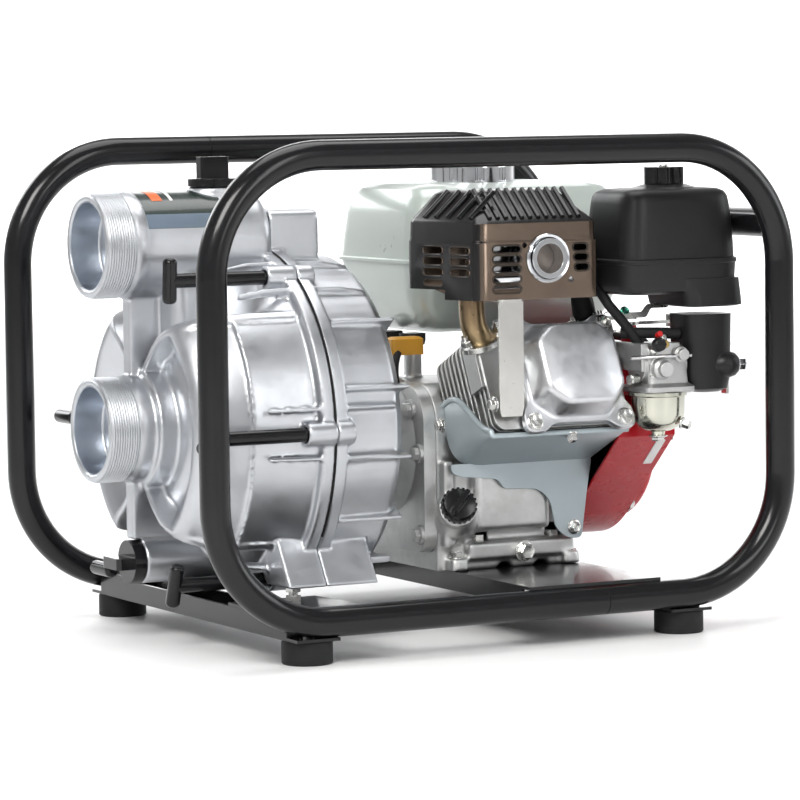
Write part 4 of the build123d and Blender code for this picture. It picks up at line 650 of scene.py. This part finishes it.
def lower_shroud():
    """Pressed air deflector: wraps under the cylinder, with a rolled rim, a lobe and a leg down the crankcase."""
    sections = [shroud_section(t, top) for t, top in SHROUD_RUNS]
    bm = bmesh.new()
    rows = [[bm.verts.new(p) for p in ring] for ring in sections]
    for low, high in zip(rows, rows[1:]):
        for i in range(len(low) - 1):
            bm.faces.new((low[i], low[i + 1], high[i + 1], high[i]))
    bmesh.ops.solidify(bm, geom=list(bm.faces), thickness=2.0)
    piece("shroud_pan", bm, "shroud_paint", stands_for=("lower_shroud",))
    rim = [ring[0] for ring in sections] + [sections[-1][k] for k in range(1, len(sections[-1]), 2)]
    rim.append(sections[-1][-1])
    wire("shroud_rolled_rim", rim, 2.6, "shroud_paint")
    leg_y = -73.5
    outline = rounded([(16, 146), (16, 139), (24, 135), (62, 131), (68, 122), (104, 120), (116, 108), (120, 84),
                       (133, 74), (147, 74), (153, 118), (158, 146)], [2, 6, 8, 10, 6, 10, 16, 14, 6, 5, 20, 4], 5)
    leg = bmesh.new()
    plate(leg, outline, 0, 1.8, facing((0, leg_y, 0), FORWARD))
    piece("shroud_leg", leg, "shroud_paint")
    bolts = bmesh.new()
    hex_bolt(bolts, facing(on_bore(-73.5, -18, 96), (-1, 0, 0)), 8.5, 5.5)
    hex_bolt(bolts, facing((139, leg_y - 1.8, 84), FORWARD), 8.5, 5.5)
    hex_bolt(bolts, facing(on_bore(20, -52, 150), on_bore(0, -1, 0) - on_bore(0, 0, 0)), 8.5, 7.0)
    piece("shroud_bolts", bolts, "zinc_bolt")


GUARD_SLANT = 20.0
GUARD_FRONT_Y = -142.0
GUARD_DEPTH = 96.0
GUARD_LEFT_X = 8.0
GUARD_RIGHT_X = 129.0
GUARD_LEFT_WARD = Vector((-GUARD_DEPTH, -GUARD_SLANT, 0)).normalized()
GUARD_OUTLET = (77, -142.2, 327)
FRONT_SLOT_Z = 301.5
FRONT_SLOT_PITCH = 8.6
SIDE_SLOT_Z = 316.0
SIDE_SLOT_PITCH = 9.4
LIP_PROUD = 0.1


def guard_left_x(y):
    """Where the guard's slanted left wall stands at one depth."""
    return GUARD_LEFT_X - GUARD_SLANT * (y - GUARD_FRONT_Y) / GUARD_DEPTH


def guard_outline(inset_x0, inset_x1, inset_y0, inset_y1, corner):
    """Plan outline of the muffler guard with its slanted left wall."""
    y0, y1 = GUARD_FRONT_Y + inset_y0, GUARD_FRONT_Y + GUARD_DEPTH - inset_y1
    left_front = GUARD_LEFT_X + inset_x0
    left_rear = left_front - GUARD_SLANT
    right = GUARD_RIGHT_X - inset_x1
    return rounded([(left_front, y0), (right, y0), (right + 3, y1), (left_rear, y1)], corner, 4)


def guard_shell(inset):
    """Muffler guard's closed outer body, or its hollow."""
    bm = bmesh.new()
    i = inset
    levels = [
        (guard_outline(i, i, i, i, 9), 292.0 - 3 * i),
        (guard_outline(i, i, i, i, 9), 341.5),
        (guard_outline(i + 1.2, i + 1.2, i + 1.2, i, 9), 343.5),
        (guard_outline(i + 1.8, i + 1.8, i + 1.8, i, 9), 358.0 - 0.4 * i),
        (guard_outline(i + 4, i + 4, i + 5, i, 9), 361.5 - 0.6 * i),
        (guard_outline(i + 25, i + 16, i + 36, i + 2, 9), 382.5 - i),
        (guard_outline(i + 31, i + 21, i + 42, i + 5, 9), 385.5 - i),
    ]
    stack(bm, levels)
    return bm


def front_slots(y):
    """Slots of the guard's front wall at a depth y, as (centre, outward axis, length, width)."""
    slots = []
    for k in range(5):
        z = FRONT_SLOT_Z + FRONT_SLOT_PITCH * k
        slots.append(((36.5, y, z), FORWARD, 27, 5.4))
        if k > 1:
            slots.append(((112.5 - 0.8 * k, y, z), FORWARD, 14, 5.6))
    return slots


def side_slots():
    """Slots of the slanted left wall that have a pressed lip."""
    rows = [SIDE_SLOT_Z + SIDE_SLOT_PITCH * k for k in range(3)]
    return [((guard_left_x(y), y, z), GUARD_LEFT_WARD, 25, 5.8) for z in rows for y in (-118, -83)]


def slot_tool(bm, centre, axis, length, width):
    """Cutter for one slot, deep enough to pass the wall."""
    plate(bm, capsule(length, width), -7.0, 7.0, facing(centre, axis))


def slot_rim(bm, centre, axis, length, width):
    """Raised lip pressed round a slot."""
    edges = ((3.0, 0.0), (1.9, 0.9), (0.4, 0.3), (0.4, -1.2), (3.0, -0.4))
    levels = [(capsule(length + grow, width + grow), height) for grow, height in edges]
    stack(bm, levels, facing(centre, axis), wrap=True)


def louvre(bm, low, high, half_width, crest):
    """Folded rib that climbs the guard's top from low to high."""
    low, high = Vector(low), Vector(high)
    outline = rounded([(-half_width, -1.5), (half_width, -1.5), (half_width - 0.4, 1.6), (-1.0, crest)], 1.0, 3)
    stack(bm, [(outline, 2), (outline, (high - low).length)], facing(low, high - low))


def guard_walls():
    """Guard's sheet with its slots, outlet hole, screw holes and the step at its rear."""
    shell = carve(guard_shell(0.0), guard_shell(1.6))
    tool = bmesh.new()
    for slot in front_slots(GUARD_FRONT_Y):
        slot_tool(tool, *slot)
    for x, z, radius, steps in ((77, 327, 19.5, 40), (54, 339, 2.4, 14), (100, 308, 2.4, 14)):
        hole = [(0, -6), (radius, -6), (radius, 6), (0, 6)]
        lathe(tool, hole, facing((x, GUARD_FRONT_Y, z), FORWARD), steps)
    for slot in side_slots():
        slot_tool(tool, *slot)
    slot_tool(tool, (guard_left_x(-83), -83, 306.5), GUARD_LEFT_WARD, 25, 5.8)
    shell = carve(shell, tool)
    step = bmesh.new()
    stack(step, [(rectangle(-40, 60, -98, -30, 3), 280), (rectangle(-40, 12, -98, -30, 3), 300.5)])
    piece("guard_shell", carve(shell, step), "guard_dark", stands_for=("muffler_guard",))


def muffler_guard():
    """Sheet-metal guard with round-ended slots in its front and left walls and louvres over its top."""
    guard_walls()
    ridges = bmesh.new()
    for k in range(12):
        x = 26 + 8.0 * k
        louvre(ridges, (x - 3, -138.0, 361.0), (x + 1.5, -100.0, 386.0), 2.6, 2.6)
    for k in range(5):
        y = -126 + 15.0 * k
        x = guard_left_x(y)
        louvre(ridges, (x + 3.5, y, 361.5), (x + 30, y + 3, 385.0), 2.4, 2.4)
    piece("guard_louvres", ridges, "gloss_black_plastic")
    rims = bmesh.new()
    for slot in front_slots(GUARD_FRONT_Y - LIP_PROUD) + side_slots():
        slot_rim(rims, *slot)
    piece("guard_slot_rims", rims, "guard_dark")
    outlet = facing(GUARD_OUTLET, FORWARD)
    ring = bmesh.new()
    lip = [(19.6, -0.5), (21.6, 0.6), (20.6, 1.8), (18.6, 1.4)]
    throat = [(16.2, -3.0), (14.0, -9.0), (13.0, -9.0), (15.4, -2.0), (17.6, -0.5)]
    lathe(ring, lip + throat, outlet, 56, wrap=True)
    piece("exhaust_outlet_ring", ring, "bright_chrome")
    mesh_disc = bmesh.new()
    lathe(mesh_disc, [(12.9, -14), (12.9, -13), (0, -12.4), (0, -14)], outlet, 40)
    piece("spark_arrester", mesh_disc, "arrester_mesh")


def exhaust():
    """Bent exhaust pipe with its port flange and nuts, and the folded stay beside it."""
    path = [(22, -104, 300), (22, -104, 286), (22, -105, 272), (25, -106, 262), (33, -104, 255), (44, -99, 252)]
    wire("exhaust_bend", path, 11.5, "heat_steel", stands_for=("exhaust_pipe",))
    flange = bmesh.new()
    place = facing((33, -105, 252), (-0.35, -0.25, 0.9), (0, 1, 0))
    plate(flange, rounded([(-24, 0), (-9, -14), (9, -14), (24, 0), (9, 14), (-9, 14)], 8, 4), 0, 5, place)
    for side in (-17, 17):
        hex_bolt(flange, place @ Matrix.Translation((side, 0, 5)), 9.0, 7.0, 1.15)
        lathe(flange, [(0, 4), (3, 4), (3, 16), (0, 16)], place @ Matrix.Translation((side, 0, 0)), 16)
    piece("exhaust_flange", flange, "zinc_bolt")
    stay = bmesh.new()
    fold = [(-13, 0), (11, 0), (11, 1.8), (-11.2, 1.8), (-11.2, 9), (-13, 9)]
    front = facing((36, -147.2, 194), UP, (0, 1, 0))
    outline = [(-x, y) for x, y in reversed(fold)]
    narrow = [(x * 0.82, y) for x, y in outline]
    stack(stay, [(narrow, -2), (outline, 6), (outline, 86), (outline, 97)], front)
    plate(stay, rectangle(25, 49, -148, -118, 4), 291, 293)
    piece("stay_plate", stay, "stay_steel", stands_for=("muffler_stay",))
    bolts = bmesh.new()
    hex_bolt(bolts, facing((22.5, -143, 203), (-1, 0, 0)), 8.5, 6)
    piece("stay_bolts", bolts, "zinc_bolt")


def fuel_tank():
    """Pressed-steel tank: deep lower half, rolled seam flange and a softly crowned top."""

    def section(inset, corner=26.0):
        return rectangle(25 + inset, 250 - inset, 2 + inset, 165 - inset, corner, 8)

    bm = bmesh.new()
    levels = [(section(60, 16), 254), (section(34, 20), 255), (section(24, 24), 259), (section(14, 28), 268),
              (section(8, 30), 280), (section(3, 30), 298), (section(0), 318), (section(-3, 28), 318.6),
              (section(-3, 28), 321.4), (section(0), 322), (section(1.5), 340), (section(4), 362), (section(8), 376),
              (section(14, 24), 384), (section(26, 20), 388.0), (section(60, 12), 389.5)]
    stack(bm, levels)
    piece("tank_shell", bm, "tank_paint", stands_for=("fuel_tank",))
    collar = bmesh.new()
    neck = [(30, 384), (33, 388), (30, 391), (26, 392), (24, 390), (24, 384)]
    lathe(collar, neck, facing((125, 80, 0), UP), 56, wrap=True)
    piece("tank_filler_collar", collar, "zinc_bolt")
    valve = bmesh.new()
    lathe(valve, [(0, 240), (7, 240), (7, 246), (9, 247), (9, 256), (0, 256)], facing((214, 44, 0), UP), 24)
    piece("tank_outlet", valve, "zinc_bolt")
    rubbers = bmesh.new()
    for x, y in ((40, 40), (40, 84), (126, 62)):
        lathe(rubbers, [(0, 245), (11, 245), (12, 249), (12, 255), (0, 255)], facing((x, y, 0), UP), 24)
    piece("tank_rubber_mounts", rubbers, "black_rubber")


def air_cleaner():
    """Air cleaner: flared cover, seam lip, tray with a deep stepped skirt and the duct down to the carburettor."""

    def section(grow, corner=20.0):
        return rectangle(141 - grow, 254 + grow, -172 - grow, -88 + grow, corner, 7)

    cover = bmesh.new()
    levels = [(section(0.8), 324), (section(0.4), 338), (section(-1.0), 360), (section(-2.2), 372),
              (section(-3.4, 19), 378), (section(-6, 17), 382), (section(-11, 14), 384.4), (section(-26, 8), 385.6)]
    stack(cover, levels)
    cone = facing((202, -130, 0), UP)
    lathe(cover, [(0, 383), (30, 383), (28, 385.5), (23, 386.8), (20, 388), (0, 388)], cone, 48)
    piece("air_cover_shell", cover, "black_plastic", stands_for=("air_cleaner_cover",))
    tray = bmesh.new()
    stack(tray, [(section(-6, 17), 293), (section(-1.0), 295.5), (section(1.2), 302), (section(1.8), 319),
                 (section(2.6), 320), (section(2.6), 323.2), (section(1.2), 324.2)])
    skirt = [(rectangle(203, 255, -173, -100, 14), 281.0), (rectangle(200, 258.5, -176, -98, 14), 282.2),
             (rectangle(199, 258.0, -175.6, -96, 14), 290), (rectangle(190, 256.5, -174.6, -92, 14), 306)]
    stack(tray, skirt)
    duct = [(rectangle(220, 243, -158, -134, 8), 205), (rectangle(211, 250, -164, -126, 13), 208),
            (rectangle(207, 252, -166, -124, 14), 218), (rectangle(206, 253, -167, -122, 14), 274)]
    stack(tray, duct)
    boss = [(0, -10), (8, -9), (11.5, -4), (12, 4), (10, 10), (7, 13), (0, 14)]
    lathe(tray, boss, facing((243, -161, 229), (0.95, -0.3, 0)), 28)
    piece("air_tray_and_duct", tray, "black_plastic", stands_for=("air_cleaner_elbow",))
    nut = bmesh.new()
    hex_bolt(nut, facing((254.5, -164.5, 229), (0.95, -0.3, 0)), 9.5, 8, 1.2)
    piece("duct_nut", nut, "bright_chrome")
    stud = bmesh.new()
    lathe(stud, [(0, 380), (4.4, 380), (4.4, 404.6), (3.4, 405.6), (0, 405.6)], cone, 20)
    piece("air_cleaner_stud", stud, "zinc_bolt")


def carburettor_bowl():
    """Float bowl, its bolts and the small screws of the body above it."""
    small = bmesh.new()
    for x, z in ((170, 222), (200, 222), (171, 243), (199, 243)):
        screw(small, facing((x, -161, z), FORWARD), 3.2)
    hex_bolt(small, facing((203, -152, 226), FORWARD), 8, 6)
    lathe(small, [(0, 0), (4.5, 0), (4.5, 9), (3.4, 10), (0, 10)], facing((160, -150, 219), (-1, -0.4, 0)), 20)
    bowl = bmesh.new()
    cup = [(0, 168), (6, 168), (6.5, 172), (12, 173), (18, 176), (22, 181)]
    rim = [(23.6, 188), (24, 203), (26, 204), (26, 207), (0, 207)]
    lathe(bowl, cup + rim, facing((184, -146, 0), UP), 56)
    piece("carburettor_bowl_cup", bowl, "bowl_zinc", stands_for=("carburetor_bowl",))
    hex_bolt(small, facing((184, -146, 168.5), (0, 0, -1)), 11, 5)
    hex_bolt(small, facing((197, -165, 180), (0.6, -0.8, -0.3)), 7, 8)
    piece("carburettor_screws", small, "zinc_bolt")


def carburettor_casting():
    """Body above the bowl, with its adjusting screws."""
    block = bmesh.new()
    stack(block, [(rectangle(162, 207, -169, -124, 6), 206.5), (rectangle(159, 209, -171, -122, 6), 208),
                  (rectangle(159, 209, -171, -122, 6), 212), (rectangle(166, 206, -164, -127, 4), 215),
                  (rectangle(168, 204, -163, -128, 4), 236), (rectangle(172, 200, -160, -130, 4), 250)])
    lathe(block, [(0, 0), (9, 0), (9, 6), (6.5, 8), (6.5, 13), (0, 13)], facing((176, -163, 228), FORWARD), 28)
    lathe(block, [(0, 0), (7, 0), (7, 4), (5, 5), (5, 9), (0, 9)], facing((196, -163, 240), FORWARD), 24)
    piece("carburettor_casting", block, "bare_casting")
    brass = bmesh.new()
    lathe(brass, [(0, 0), (3.6, 0), (3.6, 6), (2.8, 7), (0, 7)], facing((181, -160, 248), (0, -1, 0.3)), 20)
    piece("idle_screw", brass, "brass")
    red = bmesh.new()
    lathe(red, [(0, 0), (2.6, 0), (2.6, 5), (0, 5)], facing((176, -160, 257), (0, -1, 0.4)), 16)
    piece("screw_cap", red, "red_plastic")
    dial = bmesh.new()
    dial_place = facing((174, -163, 249), (0, -1, 0.1))
    lathe(dial, [(0, 0), (6, 0), (6.4, 1.5), (5.6, 6), (4.6, 7), (0, 6.4)], dial_place, 24)
    plate(dial, rectangle(-4.6, 4.6, -0.9, 0.9, 0.5), 6, 8.0, dial_place)
    piece("mixture_screw", dial, "black_plastic")


def carburettor_linkage():
    """Control rods, throttle bracket, springs and the breather hose."""
    wire("choke_rod", [(150, -158, 238), (172, -166, 239), (206, -167, 239)], 1.8, "machined_steel", smooth=False)
    wire("governor_rod", [(112, -78, 262), (150, -96, 262), (176, -128, 256), (184, -140, 256)], 1.3, "zinc_bolt")
    bracket = bmesh.new()
    outline = rounded([(0, 0), (30, 0), (36, 8), (54, 8), (54, 12), (33, 12), (26, 5), (0, 5)], 2, 3)
    plate(bracket, outline, 0, 2, facing((153, -128, 271), (0, -1, 0.25)))
    plate(bracket, rectangle(150, 176, -128, -96, 4), 270, 272)
    piece("throttle_bracket", bracket, "zinc_bolt")
    green = bmesh.new()
    hex_bolt(green, facing((163, -126, 277), (0, -1, 0.3)), 6, 4)
    piece("bracket_nut", green, "green_zinc")
    coil("governor_spring", (128, -84, 266), (160, -104, 276), 3.6, 12, 0.55, "zinc_bolt")
    coil("idle_spring", (184, -160, 247), (190, -146, 256), 2.6, 8, 0.45, "zinc_bolt")
    wire("duct_hose", [(158, -128, 258), (176, -142, 259), (206, -146, 257)], 5.0, "black_rubber")


FILLER = facing((18, -86, 113), (-0.30, -0.86, 0.42))


def crankcase():
    """Crankcase as a casting: raised front panel with its ledge, filler boss, base lugs and webs."""
    extra = bmesh.new()
    front = facing((0, -56, 0), FORWARD)
    panel = rectangle(42, 118, 84, 143, 5)
    stack(extra, [(panel, 0), (panel, 12), (rectangle(46, 114, 88, 138, 5), 15)], front)
    plate(extra, rectangle(38, 122, 136, 147, 4), 0, 17, front)
    lathe(extra, [(0, -50), (24, -50), (21, -30), (17, -22), (17, -13), (0, -13)], FILLER, 40)
    web = [(rectangle(12, 26, 70, 150, 4), 0), (rectangle(14, 24, 72, 148, 4), 9)]
    stack(extra, web, facing((0, -57, 0), FORWARD))
    for x in (26, 139):
        stack(extra, [(rectangle(x - 9, x + 9, -74, -50, 6), 51.2), (rectangle(x - 8, x + 8, -73, -50, 6), 62)])
    plate(extra, rectangle(36, 143, -70, -60, 3), 60, 74)
    cast("crankcase_casting", "crankcase", "bare_casting", extra, voxel=1.7, passes=3)
    bolts = bmesh.new()
    hex_bolt(bolts, facing((91, -70, 65), FORWARD), 13, 8, 1.2)
    lathe(bolts, [(0, -1), (9.5, -1), (9.5, 1.5), (0, 1.5)], facing((91, -70, 65), FORWARD), 24)
    for x, y in ((26, -64), (139, -64)):
        hex_bolt(bolts, facing((x, y, 62), UP), 10, 6)
    for x, z in ((33, 112), (129, 112)):
        hex_bolt(bolts, facing((x, -58, z), FORWARD), 9, 6)
    piece("crankcase_bolts", bolts, "zinc_bolt")
    washer = bmesh.new()
    lathe(washer, [(0, 0), (13.6, 0), (13.6, 1.2), (0, 1.2)], FILLER @ Matrix.Translation((0, 0, -12)), 32)
    piece("filler_gasket", washer, "black_rubber")


def oil_cap():
    """Oil filler cap with a knurled rim and a raised grip bar."""
    bm = bmesh.new()
    crown = [(0, -11.6), (14.5, -11.6), (15, -10.5), (15, -3), (13.6, -0.6), (9, 0.2), (0, 0.4)]
    lathe(bm, crown, FILLER, 48)
    for i in range(20):
        turn = FILLER @ Matrix.Rotation(math.radians(18 * i), 4, "Z")
        plate(bm, rectangle(14.2, 16.0, -1.3, 1.3, 0.6, 3), -10.5, -3.2, turn)
    bar = [(rectangle(-13.5, 13.5, -3.2, 3.2, 3.0), 0), (rectangle(-13, 13, -2.9, 2.9, 2.8), 6),
           (rectangle(-12, 12, -2.2, 2.2, 2.1), 9.2)]
    stack(bm, bar, FILLER @ Matrix.Rotation(math.radians(52), 4, "Z"))
    lathe(bm, [(0, -66), (2.2, -66), (2.2, -28), (8.6, -28), (8.6, -11), (0, -11)], FILLER, 24)
    piece("oil_cap", bm, "gloss_black_plastic", "oil_dipstick", stands_for=("oil_dipstick",))


def engine_dressing():
    """Bolts, decal strip and small fittings round the engine."""
    strip = bmesh.new()
    place = facing((204, -106.5, 150.0), (0, -0.675, -0.738))
    plate(strip, rectangle(-4.5, 4.5, -17, 17, 1.0), -0.2, 0.5, place)
    piece("fan_cover_strip", strip, "label_white")
    bolts = bmesh.new()
    bolt_circle(bolts, 215, 84, (45, 135, 225, 315), 9, 6)
    bolt_circle(bolts, 237, 73, (20, 140, 260), 7, 4)
    bolt_circle(bolts, -46, 74, range(30, 390, 60), 10, 7)
    piece("cover_bolts", bolts, "zinc_bolt")
    hub = bmesh.new()
    disc = [(0, 237), (30, 237), (31, 239), (28, 240.5), (26, 239.4), (0, 239.4)]
    lathe(hub, disc, facing((0, SHAFT_Y, SHAFT_Z), STARTER_WARD), 56)
    piece("recoil_hub_disc", hub, "gloss_black_plastic")
    amber = bmesh.new()
    cup = rectangle(2, 34, 6, 22, 3)
    stack(amber, [(cup, 238), (cup, 252), (rectangle(5, 31, 8, 20, 3), 254)])
    piece("fuel_strainer", amber, "amber_plastic")
    route = [(8, 8, 240), (-2, -2, 228), (-4, -10, 208), (4, -20, 186), (12, -26, 170)]
    wire("engine_cable", route, 3.4, "black_rubber")
    plug = bmesh.new()
    cap = facing(on_bore(64, 62, 147), on_bore(64, 90, 147) - on_bore(64, 62, 147))
    lathe(plug, [(0, -8), (10, -8), (10.5, 0), (9, 12), (7, 22), (5, 26), (0, 26)], cap, 28)
    piece("spark_plug_cap", plug, "black_rubber")


def engine_detail():
    """All the visual pieces of the engine."""
    valve_cover()
    lower_shroud()
    muffler_guard()
    exhaust()
    fuel_tank()
    air_cleaner()
    carburettor_bowl()
    carburettor_casting()
    carburettor_linkage()
    crankcase()
    oil_cap()
    engine_dressing()


# ---------------------------------------------------------------- studio and camera
def stage_floor():
    """Round floor that curves up into a wall far outside the object."""
    profile = [(3.0, 0.0), (7.0, 0.0), (8.2, 0.25), (9.2, 1.0), (9.8, 2.2), (10.0, 4.0), (10.0, 6.5)]
    bm = bmesh.new()
    rings = []
    steps = 96
    for radius, height in profile:
        ring = []
        for i in range(steps):
            angle = 2 * math.pi * i / steps
            ring.append(bm.verts.new((radius * math.cos(angle), radius * math.sin(angle), height)))
        rings.append(ring)
    bm.faces.new(rings[0])
    for low, high in zip(rings, rings[1:]):
        for i in range(steps):
            bm.faces.new((low[i], high[i], high[(i + 1) % steps], low[(i + 1) % steps]))
    mesh = bpy.data.meshes.new("studio_floor")
    bm.to_mesh(mesh)
    bm.free()
    for face in mesh.polygons:
        face.use_smooth = True
    floor = bpy.data.objects.new("studio_floor", mesh)
    bpy.context.scene.collection.objects.link(floor)
    floor.data.materials.append(floor_paint("floor_paint"))


def area_light(name, at, aim, size, power, colour=(1, 1, 1), depth=None):
    """Rectangular lamp that points at a place."""
    data = bpy.data.lights.new(name, "AREA")
    data.energy = power
    data.color = colour
    data.shape = "RECTANGLE"
    data.size = size
    data.size_y = depth or size
    lamp = bpy.data.objects.new(name, data)
    lamp.location = at
    lamp.rotation_mode = "QUATERNION"
    lamp.rotation_quaternion = (Vector(aim) - Vector(at)).to_track_quat("-Z", "Y")
    bpy.context.scene.collection.objects.link(lamp)


def studio_lights():
    """Soft key from the left, front strip, fill, top and back lights, a lamp on the wall and a pale surround."""
    target = (0.0, 0.0, 0.2)
    area_light("key_light", (-2.4, -2.2, 2.6), target, 1.6, 120, (1.0, 0.985, 0.96))
    area_light("front_strip", (0.6, -3.4, 1.5), target, 0.7, 22, depth=2.2)
    area_light("fill_light", (3.0, -1.4, 1.3), target, 1.6, 26, (0.96, 0.98, 1.0))
    area_light("top_light", (0.2, 0.3, 2.8), target, 2.0, 42)
    area_light("back_light", (-1.0, 3.2, 1.9), target, 1.6, 40, (0.97, 0.985, 1.0))
    area_light("wall_light", (2.4, 4.6, 4.2), (4.8, 9.4, 1.2), 2.5, 620)
    world = bpy.data.worlds.new("studio_world")
    world.use_nodes = True
    tree = world.node_tree
    background = tree.nodes["Background"]
    place = tree.nodes.new("ShaderNodeTexCoord")
    split = tree.nodes.new("ShaderNodeSeparateXYZ")
    ramp = tree.nodes.new("ShaderNodeValToRGB")
    tree.links.new(place.outputs["Generated"], split.inputs["Vector"])
    tree.links.new(split.outputs["Z"], ramp.inputs["Fac"])
    tree.links.new(ramp.outputs["Color"], background.inputs["Color"])
    ramp.color_ramp.elements[0].position = 0.0
    ramp.color_ramp.elements[0].color = (0.80, 0.79, 0.78, 1)
    ramp.color_ramp.elements[1].position = 0.6
    ramp.color_ramp.elements[1].color = (1.0, 1.0, 1.0, 1)
    background.inputs["Strength"].default_value = 0.30
    bpy.context.scene.world = world


CAMERA_AT = Vector((-1.68366, -3.20233, 0.47669))
CAMERA_AZIMUTH = -27.81
CAMERA_ELEVATION = 4.39
CAMERA_ROLL = -0.75
CAMERA_LENS = 183.8


def photo_camera():
    """Long-lens camera from the ports' side, a little above the cage's middle."""
    data = bpy.data.cameras.new("camera")
    data.lens = CAMERA_LENS
    data.sensor_width = 36.0
    data.clip_end = 100.0
    azimuth = math.radians(CAMERA_AZIMUTH)
    elevation = math.radians(CAMERA_ELEVATION)
    roll = math.radians(CAMERA_ROLL)
    level = math.cos(elevation)
    back = Vector((math.sin(azimuth) * level, -math.cos(azimuth) * level, math.sin(elevation)))
    right = Vector(UP).cross(back).normalized()
    up = back.cross(right)
    turned_right = math.cos(roll) * right + math.sin(roll) * up
    turned_up = math.cos(roll) * up - math.sin(roll) * right
    camera = bpy.data.objects.new("camera", data)
    axes = Matrix((turned_right, turned_up, back)).transposed().to_4x4()
    camera.matrix_world = Matrix.Translation(CAMERA_AT) @ axes
    bpy.context.scene.collection.objects.link(camera)
    bpy.context.scene.camera = camera


photo_camera()
studio_lights()
stage_floor()
dress_cad()
pump_detail()
engine_detail()

bpy.context.scene.view_settings.view_transform = "Standard"
bpy.context.scene.view_settings.exposure = 0.0
